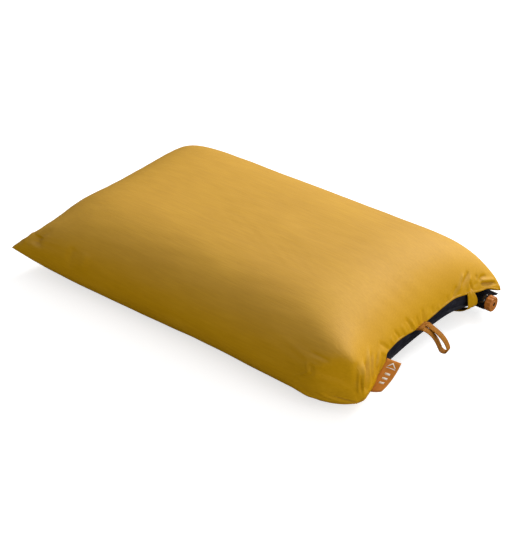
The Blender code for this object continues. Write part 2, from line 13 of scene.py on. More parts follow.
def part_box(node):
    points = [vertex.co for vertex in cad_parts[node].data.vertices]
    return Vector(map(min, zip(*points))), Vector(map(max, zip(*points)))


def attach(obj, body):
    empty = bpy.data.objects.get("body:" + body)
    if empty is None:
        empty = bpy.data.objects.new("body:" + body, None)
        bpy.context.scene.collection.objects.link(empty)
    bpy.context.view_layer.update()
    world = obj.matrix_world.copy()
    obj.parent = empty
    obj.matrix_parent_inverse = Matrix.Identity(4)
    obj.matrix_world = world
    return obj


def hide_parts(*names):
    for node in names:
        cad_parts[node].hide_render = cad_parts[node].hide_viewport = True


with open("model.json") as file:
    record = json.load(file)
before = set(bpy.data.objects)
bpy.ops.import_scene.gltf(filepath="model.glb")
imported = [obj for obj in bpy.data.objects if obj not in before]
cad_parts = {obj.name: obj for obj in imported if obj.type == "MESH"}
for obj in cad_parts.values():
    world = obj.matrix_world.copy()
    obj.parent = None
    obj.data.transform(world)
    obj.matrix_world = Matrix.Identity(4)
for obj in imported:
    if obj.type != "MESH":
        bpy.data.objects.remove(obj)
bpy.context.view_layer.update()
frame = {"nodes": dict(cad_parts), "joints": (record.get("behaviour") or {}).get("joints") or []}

JOINTS = {joint["name"]: joint for joint in frame["joints"]}
MM = 0.001

# The inflated shape. Places on it are (u, v), each from -1 to 1, along the length and across the width.
HALF_LENGTH, HALF_WIDTH = 0.290, 0.1766
CROWN = 0.124
END_PULL, SIDE_PULL = 0.028, 0.0082
RIM_SIDE, RIM_END, RIM_LEFT = 0.038, 0.034, 0.0351
END_POWER, END_ROUND = 7.0, 0.57
SIDE_POWER, SIDE_ROUND = 3.65, 0.475
UNDER_END_POWER, UNDER_END_ROUND = 6.0, 0.6
UNDER_SIDE_POWER, UNDER_SIDE_ROUND = 8.4, 0.5
FLAT_DEPTH = 0.4 * MM
COVER_RIM_POWERS, BLADDER_RIM_POWERS = (4, 2), (2, 6)

# How far each corner is moved, how high its rim is, how tightly the move keeps to the corner and
# how boxy the corner is, always in the order near left, far left, near right, far right.
COVER_CORNERS = ((-0.0145, 0.004), (-0.013, -0.011), (0.0, 0.0), (-0.0062, 0.0029))
COVER_RIM = (0.033, 0.030, 0.0217, 0.0245)
COVER_TIGHTNESS = (8.6, 6.0, 5.5, 6.5)
COVER_BOXINESS = (0.35, 0.0, 0.5, 0.63)
# The near right corner is drawn back behind a line across it: a point on the line, the angle of its normal,
# how much of what lies beyond the line is kept, and how softly that starts.
COVER_CUT = (0.2643, -0.146)
CUT_ANGLE = math.radians(-60)
CUT_KEEP, CUT_SOFTNESS = 0.08, 2.5 * MM
BLADDER_CORNERS = ((0.010, 0.012), (0.010, -0.012), (-0.024, 0.040), (0.012, 0.0075))
BLADDER_RIM = (0.028, 0.028, 0.016, 0.0203)
BLADDER_TIGHTNESS = (6.0, 6.0, 6.0, 9.0)
BLADDER_BOXINESS = (0.0, 0.0, 0.0, 0.0)
# The profiles that a boxy corner takes along the length and across the width, in the same order.
BOX_END_POWER, BOX_END_ROUND = (1.72, 14.0, 14.0, 3.55), (0.45, 0.45, 0.45, 0.48)
BOX_SIDE_POWER, BOX_SIDE_ROUND = (10.7, 10.0, 10.0, 8.2), (0.38, 0.42, 0.42, 0.35)

# The mouth at the right end.
MOUTH_NEAR, MOUTH_FAR, MOUTH_FADE = -0.46, 0.985, 0.04
# How far the upper lip stands above the rim, as (v, millimetres): the pull loop and the strap draw it down.
UPPER_LIP_RISE = (
    (-0.46, 14.0), (-0.40, 19.5), (-0.26, 19.0), (-0.16, 17.0), (-0.02, 12.3), (0.12, 12.1), (0.22, 13.8),
    (0.36, 17.6), (0.48, 20.2), (0.60, 17.4), (0.67, 15.3), (0.77, 12.3), (0.83, 12.9), (0.89, 8.5),
    (0.985, 0.3),
)
LOWER_LIP_SET_BACK = 0.135
UNDERSIDE_SEAM = 0.86

# How finely the cover's cloth is divided before it is smoothed.
LENGTH_CELLS, WIDTH_CELLS = 96, 120
CLOTH_FRAMES = 14
CLOTH_CAP, FORM_INSET = 7 * MM, 2.2 * MM
CLOTH_WALL = 0.9 * MM
NEAR_TIP = (-0.264, -0.140)


# ---------------------------------------------------------------- the inflated shape


def smooth(t):
    t = np.clip(t, 0.0, 1.0)
    return t * t * (3 - 2 * t)


def profile(t, power, roundness):
    return np.clip(1.0 - np.abs(t) ** power, 0.0, None) ** roundness


def by_quarter(values, u, v):
    """Picks each point's value from a table with one entry for each corner."""
    table = np.asarray(values)
    return table[2 * (u > 0) + (v > 0)]


def near_corner(u, v):
    return smooth((np.abs(u) - 0.55) / 0.35) * smooth((np.abs(v) - 0.5) / 0.4)


class Shell:
    """One of the nested pillow-shaped surfaces."""

    def __init__(self, ends, half_width, inset, end_pull, corners, rim, tightness, boxiness, end_rims, powers):
        self.ends, self.half_width, self.end_pull = ends, half_width, end_pull
        self.top, self.base = CROWN - inset, inset
        self.corners, self.rim, self.tightness, self.boxiness = corners, rim, tightness, boxiness
        self.end_rims, self.rim_powers = end_rims, powers
        self.cut = None

    def plan(self, u, v):
        half = np.where(u > 0, self.ends[1], self.ends[0])
        shift = by_quarter(self.corners, u, v)
        weight = np.abs(u * v) ** by_quarter(self.tightness, u, v)
        x = half * u - self.end_pull * (1 - v * v) * u * np.abs(u) + shift[..., 0] * weight
        y = self.half_width * v - SIDE_PULL * (1 - u * u) * v * np.abs(v) + shift[..., 1] * weight
        if self.cut is None:
            return x, y
        beyond = (x - self.cut[0]) * math.cos(CUT_ANGLE) + (y - self.cut[1]) * math.sin(CUT_ANGLE)
        kept_back = (1 - CUT_KEEP) * CUT_SOFTNESS * np.log1p(np.exp(beyond / CUT_SOFTNESS))
        return x - kept_back * math.cos(CUT_ANGLE), y - kept_back * math.sin(CUT_ANGLE)

    def rim_height(self, u, v):
        middle = np.where(u > 0, self.end_rims[1], self.end_rims[0])
        towards_corner = np.abs(v) ** np.where(u > 0, self.rim_powers[1], self.rim_powers[0])
        end = middle + (by_quarter(self.rim, u, v) - middle) * towards_corner
        return RIM_SIDE + (end - RIM_SIDE) * u**4

    def swell(self, u, v):
        """How much of its height above the rim the upper surface has: 0 at the rim, 1 at the crown."""
        round_swell = profile(u, END_POWER, END_ROUND) * profile(v, SIDE_POWER, SIDE_ROUND)
        box_end = profile(u, by_quarter(BOX_END_POWER, u, v), by_quarter(BOX_END_ROUND, u, v))
        box_side = profile(v, by_quarter(BOX_SIDE_POWER, u, v), by_quarter(BOX_SIDE_ROUND, u, v))
        box_swell = box_end * box_side
        return round_swell + (box_swell - round_swell) * near_corner(u, v) * by_quarter(self.boxiness, u, v)

    def point(self, u, v, side):
        x, y = self.plan(u, v)
        rim = self.rim_height(u, v)
        if side > 0:
            return np.stack([x, y, rim + (self.top - rim) * self.swell(u, v)], axis=-1)
        depth = rim - self.base
        under = profile(u, UNDER_END_POWER, UNDER_END_ROUND) * profile(v, UNDER_SIDE_POWER, UNDER_SIDE_ROUND)
        rise = depth * (1 - under)
        pressed = np.maximum(0.0, rise - FLAT_DEPTH) * depth / (depth - FLAT_DEPTH)
        return np.stack([x, y, self.base + pressed], axis=-1)


def cover_shell(inset=0.0):
    half_length, half_width = HALF_LENGTH - inset, HALF_WIDTH - inset
    shell = Shell(
        (half_length, half_length), half_width, inset, END_PULL, COVER_CORNERS, COVER_RIM, COVER_TIGHTNESS,
        COVER_BOXINESS, (RIM_LEFT, RIM_END), COVER_RIM_POWERS,
    )
    shell.cut = COVER_CUT
    return shell


def eased(count, share=1.0):
    """Values from -1 to 1 that crowd towards both ends, wholly or in part."""
    even = np.linspace(-1, 1, count + 1)
    return share * np.sin(math.pi / 2 * even) + (1 - share) * even


def mouth_open(v):
    return smooth((v - MOUTH_NEAR) / MOUTH_FADE) * smooth((MOUTH_FAR - v) / MOUTH_FADE)


def last_place(low, high, holds):
    """How far from low towards high a condition holds, found by halving."""
    for _ in range(24):
        middle = (low + high) / 2
        kept = holds(middle)
        low, high = np.where(kept, middle, low), np.where(kept, high, middle)
    return high


def upper_lip(v):
    """The u at which the upper cloth ends: where it reaches the lip's height above the rim."""
    shell = cover_shell()
    places, rises = zip(*UPPER_LIP_RISE)
    spread = [np.interp(v + shift, places, rises) for shift in (-0.03, -0.015, 0.0, 0.015, 0.03)]
    rise = np.mean(spread, axis=0) * MM * mouth_open(v)

    def above(u):
        return shell.point(u, v, 1)[..., 2] - shell.rim_height(u, v) > rise

    return last_place(np.full_like(v, 0.8), np.ones_like(v), above)


def lower_lip(v):
    return 1.0 - LOWER_LIP_SET_BACK * mouth_open(v)


# ---------------------------------------------------------------- meshes


def new_object(name, data):
    obj = bpy.data.objects.new(name, data)
    bpy.context.scene.collection.objects.link(obj)
    return obj


def new_mesh_object(name, coords, faces):
    mesh = bpy.data.meshes.new(name)
    mesh.from_pydata([tuple(p) for p in coords], [], [tuple(int(i) for i in f) for f in faces])
    mesh.update()
    mesh.shade_smooth()
    return new_object(name, mesh)


def object_from_bmesh(name, bm):
    mesh = bpy.data.meshes.new(name)
    bm.to_mesh(mesh)
    bm.free()
    mesh.shade_smooth()
    return new_object(name, mesh)


def vectors_of(points, key):
    flat = np.empty(len(points) * 3)
    points.foreach_get(key, flat)
    return flat.reshape(-1, 3)


def coords_of(mesh):
    return vectors_of(mesh.vertices, "co")


def normals_of(mesh):
    return vectors_of(mesh.vertices, "normal")


def set_coords(mesh, coords):
    mesh.vertices.foreach_set("co", np.asarray(coords).ravel())
    mesh.update()


def keep_attribute(mesh, name, vectors):
    """Stores a vector at each point, which survives the mesh's later subdivision and cutting."""
    layer = mesh.attributes.new(name, "FLOAT_VECTOR", "POINT")
    layer.data.foreach_set("vector", np.asarray(vectors).ravel())


def attribute_of(mesh, name):
    return vectors_of(mesh.attributes[name].data, "vector")


def grid_quads(table, side):
    """The quads of a grid of point numbers, wound to face up for side +1 and down for side -1."""
    a, b = table[:-1, :-1].ravel(), table[1:, :-1].ravel()
    c, d = table[1:, 1:].ravel(), table[:-1, 1:].ravel()
    return np.stack([a, b, c, d] if side > 0 else [a, d, c, b], axis=1)


def nearest_on(start, end, points):
    """Each point's distance from a straight piece of line, and how far along it the nearest place is."""
    step = end - start
    t = np.clip((points - start) @ step / (step @ step), 0, 1)
    return np.linalg.norm(points - start - t[:, None] * step, axis=1), t


def apply_modifiers(obj):
    graph = bpy.context.evaluated_depsgraph_get()
    mesh = bpy.data.meshes.new_from_object(obj.evaluated_get(graph))
    obj.modifiers.clear()
    old = obj.data
    obj.data = mesh
    mesh.name = obj.name
    bpy.data.meshes.remove(old)


def join_rings(bm, rings):
    """Joins a row of matching closed outlines into a solid, capped at both ends."""
    count = len(rings[0])
    for a, b in zip(rings, rings[1:]):
        for k in range(count):
            after = (k + 1) % count
            bm.faces.new((a[k], a[after], b[after], b[k]))
    bm.faces.new(rings[0][::-1])
    bm.faces.new(rings[-1])


def sweep(sections):
    bm = bmesh.new()
    join_rings(bm, [[bm.verts.new(p) for p in section] for section in sections])
    bmesh.ops.recalc_face_normals(bm, faces=bm.faces)
    return bm


def place_piece(obj, material, body, slot, *replaced):
    """Gives a piece its material and the body it rides on, and hides the CAD nodes it stands for; the slot is
    not used.
    """
    obj.data.materials.append(material)
    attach(obj, body)
    if replaced:
        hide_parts(*replaced)


# ---------------------------------------------------------------- the cover's cloth


def tube_mesh(shell, u_rows, v_line):
    """Coordinates and quads of the whole cover as one tube, sewn at the left end and beside the mouth."""
    nu, nv = LENGTH_CELLS + 1, len(v_line)
    upper = np.arange(nu * nv).reshape(nu, nv)
    lower = upper + upper.size
    sewn = mouth_open(v_line) <= 0
    lower[:, 0], lower[:, -1] = upper[:, 0], upper[:, -1]
    lower[0, :] = upper[0, :]
    lower[-1, sewn] = upper[-1, sewn]
    grid_v = np.broadcast_to(v_line, (nu, nv))
    coords = np.concatenate([shell.point(u_rows[side], grid_v, side).reshape(-1, 3) for side in (1, -1)])
    quads = np.concatenate([grid_quads(upper, 1), grid_quads(lower, -1)])
    between_seams = np.abs(v_line[:-1] + v_line[1:]) / 2 < UNDERSIDE_SEAM
    is_bottom = np.concatenate([np.zeros((nu - 1) * (nv - 1), bool), np.tile(between_seams, nu - 1)])
    used, index = np.unique(quads, return_inverse=True)
    renumber = np.full(len(coords), -1)
    renumber[used] = np.arange(len(used))
    return coords[used], index.reshape(quads.shape), is_bottom, {1: renumber[upper], -1: renumber[lower]}


def cover_u_rows(v_line):
    """Where the rows of points are along the upper and the lower cloth, each drawn in to its lip."""
    base = eased(LENGTH_CELLS)[:, None]
    lips = {1: upper_lip(v_line), -1: lower_lip(v_line)}
    return {side: base * np.where(base > 0, lip, 1.0) for side, lip in lips.items()}


# How much wider and higher the cloth is cut than the pillow it covers: at the mouth and at the closed end.
EXTRA_WIDTH, EXTRA_HEIGHT = (0.16, 0.05), (0.10, 0.04)
MIDDLE_HEIGHT = 0.04


def gathered(coords):
    """The cloth's own size before elastic and seams draw it in: wider near the mouth and the closed end."""
    x = coords[:, 0]
    at_mouth = smooth((x - 0.185) / 0.075)
    at_seam = smooth((-x - 0.235) / 0.04)
    rest = coords.copy()
    rest[:, 1] *= 1 + EXTRA_WIDTH[0] * at_mouth + EXTRA_WIDTH[1] * at_seam
    taller = 1 + EXTRA_HEIGHT[0] * at_mouth + EXTRA_HEIGHT[1] * at_seam
    rest[:, 2] = MIDDLE_HEIGHT + (rest[:, 2] - MIDDLE_HEIGHT) * taller
    return rest


def pinned_weights(coords, tables):
    """How firmly each point is held as the cloth settles: hems, closed end, near tip and flat underside."""
    weight = np.zeros(len(coords))
    flat = (coords[:, 2] < 0.6 * MM) & (np.abs(coords[:, 0]) < 0.24)
    weight[flat] = 1.0
    near_tip = (coords[:, 0] < NEAR_TIP[0]) & (coords[:, 1] < NEAR_TIP[1])
    for side in (1, -1):
        weight[tables[side][-1, :]] = 1.0
        weight[tables[side][0, :]] = 0.7
    weight[near_tip] = 1.0
    return weight


def collision_form():
    """A stiff shape just inside the cover, which stands for the bladder while the cloth settles."""
    shell = cover_shell(FORM_INSET)
    u, v = np.meshgrid(eased(60), eased(48), indexing="ij")
    coords = np.concatenate([shell.point(u, v, side).reshape(-1, 3) for side in (1, -1)])
    table = np.arange(u.size).reshape(u.shape)
    quads = np.concatenate([grid_quads(table, 1), grid_quads(table, -1) + u.size])
    form = new_mesh_object("cloth_form", coords, quads)
    form.modifiers.new("collision", "COLLISION")
    form.collision.thickness_outer = 0.8 * MM
    form.collision.cloth_friction = 3
    return form


CLOTH_SETTINGS = {
    "quality": 6, "mass": 0.25, "tension_stiffness": 25, "compression_stiffness": 25, "shear_stiffness": 8,
    "bending_stiffness": 0.35, "air_damping": 2, "use_pressure": True, "uniform_pressure_force": 1.2,
}


def settle_cloth(obj, rest, weight):
    """Runs the cloth simulation and returns where the points end up."""
    start = coords_of(obj.data)
    obj.shape_key_add(name="Basis")
    key = obj.shape_key_add(name="flat")
    key.data.foreach_set("co", rest.ravel())
    group = obj.vertex_groups.new(name="held")
    for value in np.unique(weight[weight > 0]):
        group.add([int(i) for i in np.nonzero(weight == value)[0]], float(value), "REPLACE")
    cloth = obj.modifiers.new("cloth", "CLOTH")
    settings = cloth.settings
    for name, value in CLOTH_SETTINGS.items():
        setattr(settings, name, value)
    settings.effector_weights.gravity = 0
    settings.vertex_group_mass = "held"
    settings.rest_shape_key = key
    cloth.collision_settings.distance_min = 0.8 * MM
    cloth.collision_settings.use_collision = True
    cloth.collision_settings.use_self_collision = False
    cloth.point_cache.frame_start, cloth.point_cache.frame_end = 1, CLOTH_FRAMES
    form = collision_form()
    scene = bpy.context.scene
    for step in range(1, CLOTH_FRAMES + 1):
        scene.frame_set(step)
    settled = coords_of(obj.evaluated_get(bpy.context.evaluated_depsgraph_get()).data)
    obj.modifiers.clear()
    obj.shape_key_clear()
    scene.frame_set(1)
    bpy.data.objects.remove(form)
    moved = settled - start
    size = np.linalg.norm(moved, axis=1, keepdims=True)
    capped = moved * np.minimum(1.0, CLOTH_CAP / np.maximum(size, 1e-9))
    return start + capped


def ridge(coords, line, width, height):
    """Height of a soft ridge along a line of points, fading towards both of its ends."""
    nearest = np.full(len(coords), 1.0)
    along = np.zeros(len(coords))
    pieces = len(line) - 1
    for k, (start, end) in enumerate(zip(line, line[1:])):
        distance, t = nearest_on(start, end, coords)
        closer = distance < nearest
        nearest = np.where(closer, distance, nearest)
        along = np.where(closer, (k + t) / pieces, along)
    taper = smooth(along / 0.3 + 0.25) * smooth((1 - along) / 0.3 + 0.1)
    return height * np.exp(-((nearest / width) ** 2)) * taper


# Folds in the upper cloth: width, height in millimetres and places (u, v) along it; below zero is a crease.
FOLDS = [
    # Pleats running down the near right corner beside the label.
    (2.6, 3.2, (0.952, -0.610), (0.978, -0.683), (0.994, -0.722), (0.999, -0.740)),
    (2.3, -3.4, (0.968, -0.690), (0.982, -0.745), (0.993, -0.779), (0.999, -0.790)),
    (2.7, 3.6, (0.964, -0.735), (0.981, -0.785), (0.991, -0.822), (0.999, -0.840)),
    (2.4, -3.0, (0.979, -0.815), (0.990, -0.862), (0.998, -0.885)),
    (1.9, 2.0, (0.975, -0.830), (0.989, -0.907), (0.997, -0.938)),
    (4.2, -2.0, (0.950, -0.800), (0.972, -0.885), (0.988, -0.945)),
    (2.2, -2.2, (0.962, -0.595), (0.985, -0.658), (0.997, -0.690)),
    (2.0, 1.5, (0.972, -0.590), (0.990, -0.631), (0.998, -0.655)),
    (1.9, -1.7, (0.975, -0.540), (0.992, -0.600), (0.998, -0.625)),
    (2.0, 1.7, (0.976, -0.500), (0.993, -0.578)),
    # Soft creases on the near side.
    (2.8, 1.7, (0.735, -0.970), (0.758, -0.997)),
    (2.6, -1.4, (0.748, -0.970), (0.772, -0.997)),
    (2.6, -1.1, (0.740, -0.940), (0.850, -0.945)),
    (6.0, -1.5, (-0.640, -0.950), (-0.660, -0.999)),
    (7.0, 1.1, (-0.560, -0.950), (-0.570, -0.999)),
    # The hood over the valve.
    (2.0, -3.8, (0.985, 0.775), (0.990, 0.853), (0.991, 0.960)),
    (2.6, 2.6, (0.979, 0.780), (0.982, 0.860), (0.984, 0.940)),
    (2.4, -2.4, (0.980, 0.765), (0.972, 0.800), (0.970, 0.860)),
    (1.8, 1.8, (0.995, 0.720), (0.997, 0.880)),
    (1.6, -1.6, (0.963, 0.760), (0.973, 0.742)),
    # Folds rising from the strap between the mouth and the valve.
    (1.9, -2.4, (0.946, 0.692), (0.957, 0.668), (0.968, 0.612), (0.980, 0.555)),
    (2.3, 2.4, (0.950, 0.630), (0.970, 0.575), (0.988, 0.505)),
    (2.6, 1.6, (0.960, 0.700), (0.976, 0.650), (0.990, 0.625)),
    (2.0, -1.7, (0.974, 0.660), (0.992, 0.672)),
    (2.2, -1.0, (0.984, 0.695), (0.981, 0.745)),
    (2.0, -1.6, (0.972, 0.520), (0.990, 0.450)),
    # Puckers round the root of the pull loop and along the hem.
    (2.2, -1.4, (0.996, -0.045), (0.968, -0.115)),
    (1.7, 1.1, (0.996, -0.015), (0.978, -0.060)),
    (1.8, -1.0, (0.996, 0.030), (0.980, 0.015)),
    (2.4, -1.2, (0.996, 0.085), (0.974, 0.100)),
    (1.6, 0.9, (0.996, 0.125), (0.984, 0.150)),
    (2.8, -0.7, (0.994, 0.215), (0.982, 0.200)),
    (1.8, 0.7, (0.994, 0.290), (0.986, 0.285)),
    (2.4, -0.8, (0.992, 0.385), (0.980, 0.400)),
    (2.6, 0.9, (0.994, -0.130), (0.972, -0.185)),
    (1.9, -1.2, (0.992, -0.215), (0.970, -0.280)),
    (2.8, 0.9, (0.992, -0.300), (0.974, -0.345)),
    (2.1, -1.7, (0.990, -0.380), (0.962, -0.485)),
    (1.8, 1.3, (0.992, -0.425), (0.975, -0.500)),
    # The dimple inside the near left corner and the ear beyond it.
    (8.5, -5.0, (-0.880, -0.935), (-0.872, -0.985)),
    (4.0, 2.0, (-0.935, -0.900), (-0.945, -0.985)),
    (4.5, 1.6, (-0.975, -0.860), (-0.990, -0.950)),
    (5.0, -1.2, (-0.820, -0.900), (-0.880, -0.950)),
    # The far left corner.
    (7.0, -3.0, (-0.900, 0.930), (-0.900, 0.985)),
    (4.5, 1.6, (-0.930, 0.880), (-0.950, 0.980)),
]


def fold_height(coords):
    shell = cover_shell()
    height = np.zeros(len(coords))
    for width, rise, *places in FOLDS:
        steps = np.linspace(0, len(places) - 1, 4 * len(places) - 3)
        u, v = (np.interp(steps, range(len(places)), axis) for axis in zip(*places))
        height += ridge(coords, shell.point(u, v, 1), width * MM, rise * MM)
    return height


SEAM_DEPTH, SEAM_WIDTH = 0.9 * MM, 1.5 * MM


def seam_closeness(coords):
    """One on a sewn seam, falling to zero beside it: the closed end's seam and the two under the pillow."""
    shell = cover_shell()
    along = np.linspace(-0.999, 0.999, 60)
    lines = [shell.point(np.full(60, -1.0), along, 1)]
    lines += [shell.point(along, np.full(60, v), -1) for v in (-UNDERSIDE_SEAM, UNDERSIDE_SEAM)]
    closeness = np.zeros(len(coords))
    for line in lines:
        low, high = line.min(axis=0) - 6 * MM, line.max(axis=0) + 6 * MM
        near = np.all((coords > low) & (coords < high), axis=1)
        distance = np.full(near.sum(), 1.0)
        for start, end in zip(line, line[1:]):
            distance = np.minimum(distance, nearest_on(start, end, coords[near])[0])
        closeness[near] = np.maximum(closeness[near], np.exp(-((distance / SEAM_WIDTH) ** 2)))
    return closeness


def soft_noise(coords, scale, seed):
    """Smooth, repeatable noise between about -1 and 1: a sum of sines, scaled along each axis."""
    rng = np.random.default_rng(seed)
    total = np.zeros(len(coords))
    waves = 14
    for _ in range(waves):
        direction = rng.normal(size=3)
        direction /= np.linalg.norm(direction)
        frequency = rng.uniform(0.6, 1.6)
        phase = rng.uniform(0, 2 * math.pi)
        total += np.sin(2 * math.pi * frequency * ((coords / np.array(scale)) @ direction) + phase)
    return total / math.sqrt(waves)


# How uneven the cloth is, as height, scale along each axis and seed: everywhere, and by the end's seam.
BROAD_WAVES = (0.45 * MM, (0.20, 0.10, 0.10), 3)
NARROW_WAVES = (0.14 * MM, (0.06, 0.03, 0.03), 5)
SEAM_PUCKERS = (0.35 * MM, (0.05, 0.016, 0.05), 9)


def sculpt_cover(mesh):
    """Adds the folds, the seams and the cloth's unevenness, but none where the pillow rests on the ground."""
    coords, normals = coords_of(mesh), normals_of(mesh)
    shell = attribute_of(mesh, "shell")
    height = fold_height(shell)
    at_seam = smooth((-coords[:, 0] - 0.240) / 0.035)
    for (size, scale, seed), share in ((BROAD_WAVES, 1.0), (NARROW_WAVES, 1.0), (SEAM_PUCKERS, at_seam)):
        height += size * share * soft_noise(coords, scale, seed)
    height -= SEAM_DEPTH * seam_closeness(shell)
    off_ground = smooth((coords[:, 2] - 1.0 * MM) / (6 * MM))
    coords = coords + normals * (height * off_ground)[:, None]
    coords[:, 2] = np.maximum(coords[:, 2], 0.0)
    set_coords(mesh, coords)


def split_panels(obj, is_bottom):
    """Cuts the settled cover into its upper and lower panels along the seams on the underside."""
    panels = []
    for name, keep in (("cover_top", False), ("cover_bottom", True)):
        bm = bmesh.new()
        bm.from_mesh(obj.data)
        layer = bm.faces.layers.int.get("panel")
        wrong = [face for face in bm.faces if bool(face[layer]) != keep]
        bmesh.ops.delete(bm, geom=wrong, context="FACES")
        panels.append(object_from_bmesh(name, bm))
    bpy.data.objects.remove(obj)
    return panels


def thicken(obj, thickness):
    solid = obj.modifiers.new("thickness", "SOLIDIFY")
    solid.thickness = thickness
    solid.offset = -1
    solid.use_even_offset = False
    apply_modifiers(obj)
    obj.data.shade_smooth()


def make_cover():
    v_line = eased(WIDTH_CELLS, 0.6)
    coords, quads, is_bottom, tables = tube_mesh(cover_shell(), cover_u_rows(v_line), v_line)
    cover = new_mesh_object("cover_cloth", coords, quads)
    unsettled = coords
    coords = settle_cloth(cover, gathered(coords), pinned_weights(coords, tables))
    set_coords(cover.data, coords)
    keep_attribute(cover.data, "shell", unsettled)
    panel = cover.data.attributes.new("panel", "INT", "FACE")
    panel.data.foreach_set("value", is_bottom.astype(np.int32))
    lips = {side: coords[tables[side][-1, :]] for side in (1, -1)}
    finer = cover.modifiers.new("finer", "SUBSURF")
    finer.levels = finer.render_levels = 1
    apply_modifiers(cover)
    sculpt_cover(cover.data)
    panels = split_panels(cover, is_bottom)
    for obj in panels:
        thicken(obj, CLOTH_WALL)
    return panels, lips


# ---------------------------------------------------------------- materials


class Nodes:
    """A short way to build a node tree. A node's inputs are given as values or as other nodes' outputs."""

    def __init__(self, owner):
        owner.use_nodes = True
        self.tree = owner.node_tree

    def put(self, value, socket):
        if isinstance(value, bpy.types.NodeSocket):
            self.tree.links.new(value, socket)
        else:
            socket.default_value = value

    def add(self, kind, inputs, **settings):
        node = self.tree.nodes.new(kind)
        for key, value in settings.items():
            setattr(node, key, value)
        for name, value in inputs.items():
            self.put(value, node.inputs[name])
        return node

    def spread(self, value, low, high, least, most):
        """A value that goes from `least` to `most` as another goes from `low` to `high`."""
        inputs = {"Value": value, "From Min": low, "From Max": high, "To Min": least, "To Max": most}
        return self.add("ShaderNodeMapRange", inputs).outputs["Result"]


class Surface(Nodes):
    """The node tree of one procedural material."""

    def __init__(self, name):
        self.material = bpy.data.materials.new(name)
        super().__init__(self.material)
        self.shader = self.tree.nodes["Principled BSDF"]

    def finish(self, inputs):
        for name, value in inputs.items():
            self.put(value, self.shader.inputs[name])
        return self.material

    def coords(self, scale):
        """Object coordinates, which are metres in the object's own frame, scaled along each axis."""
        place = self.add("ShaderNodeTexCoord", {}).outputs["Object"]
        return self.add("ShaderNodeMapping", {"Vector": place, "Scale": scale}).outputs["Vector"]

    def noise(self, scale, detail=2.0, roughness=0.5):
        inputs = {"Vector": self.coords(scale), "Scale": 1.0, "Detail": detail, "Roughness": roughness}
        return self.add("ShaderNodeTexNoise", inputs).outputs["Fac"]

    def wave(self, scale, direction="DIAGONAL", distortion=0.0, detail=2.0):
        inputs = {"Vector": self.coords(scale), "Scale": 1.0, "Distortion": distortion, "Detail": detail}
        node = self.add("ShaderNodeTexWave", inputs, wave_type="BANDS", bands_direction=direction)
        return node.outputs["Fac"]

    def ramp(self, value, stops):
        node = self.add("ShaderNodeValToRGB", {"Fac": value})
        elements = node.color_ramp.elements
        while len(elements) < len(stops):
            elements.new(0.5)
        for element, (position, color) in zip(elements, stops):
            element.position = position
            element.color = (*color, 1.0)
        return node.outputs["Color"]

    def math(self, operation, a, b):
        return self.add("ShaderNodeMath", {0: a, 1: b}, operation=operation).outputs["Value"]

    def weighted(self, a, share, b):
        """A share of one value and the rest of another."""
        return self.math("ADD", self.math("MULTIPLY", a, share), self.math("MULTIPLY", b, 1 - share))

    def facing_up(self, low, high, least, most):
        """A value that rises from `least` to `most` as the surface turns from sideways to facing up."""
        normal = self.add("ShaderNodeNewGeometry", {}).outputs["Normal"]
        up = self.add("ShaderNodeSeparateXYZ", {"Vector": normal}).outputs["Z"]
        return self.spread(up, low, high, least, most)

    def bump(self, height, strength, distance, before=None):
        inputs = {"Height": height, "Strength": strength, "Distance": distance}
        if before is not None:
            inputs["Normal"] = before
        return self.add("ShaderNodeBump", inputs).outputs["Normal"]


# The cloth is shinier where it faces up, and a painted highlight makes its colour a little paler there.
TOP_SHINE, TOP_PAINTED_HIGHLIGHT = 0.36, (0.0, 0.014, 0.024)


def mustard_knit(name="mustard_knit", shade=1.0):
    """Brushed polyester with slubs: soft streaks along the pillow's length over a fine knit."""
    n = Surface(name)
    streaks = n.noise((28, 420, 420), detail=3.0, roughness=0.6)
    patches = n.noise((9, 14, 14), detail=3.0)
    slubs = n.noise((60, 900, 900), detail=1.0)
    knit = n.wave((60, 520, 520), "Y", distortion=1.5, detail=1.0)
    tones = [(0.30, (0.480, 0.241, 0.003)), (0.50, (0.525, 0.269, 0.005)), (0.72, (0.575, 0.304, 0.009))]
    stops = [(place, tuple(shade * c for c in color)) for place, color in tones]
    color = n.ramp(n.weighted(streaks, 0.55, patches), stops)
    # Painted highlight: the colour is made paler where the cloth faces up, as if lit from above.
    inputs = {"Factor": n.facing_up(0.30, 0.95, 0.0, 1.0), "A": color, "B": (*TOP_PAINTED_HIGHLIGHT, 1)}
    painted_top_highlight = n.add("ShaderNodeMix", inputs, data_type="RGBA", blend_type="ADD")
    fine = n.bump(n.weighted(slubs, 0.8, knit), 0.35, 0.5 * MM)
    return n.finish({
        "Base Color": painted_top_highlight.outputs["Result"],
        "Normal": n.bump(streaks, 0.16, 0.8 * MM, fine),
        "Roughness": 0.68,
        "Specular IOR Level": n.facing_up(0.10, 0.80, 0.02, TOP_SHINE),
    })


def coated_charcoal():
    """The bladder's coated cloth: a faint ripstop grid under a satin film, creased in places."""
    n = Surface("coated_charcoal")
    creases = n.noise((45, 90, 90), detail=4.0, roughness=0.65)
    weave = n.bump(n.wave((700, 700, 700)), 0.12, 0.2 * MM)
    tones = [(0.32, (0.012, 0.012, 0.017)), (0.55, (0.021, 0.021, 0.030)), (0.75, (0.045, 0.046, 0.060))]
    return n.finish({
        "Base Color": n.ramp(creases, tones),
        "Normal": n.bump(creases, 0.5, 1.2 * MM, weave),
        "Roughness": 0.5,
        "Specular IOR Level": 0.3,
    })


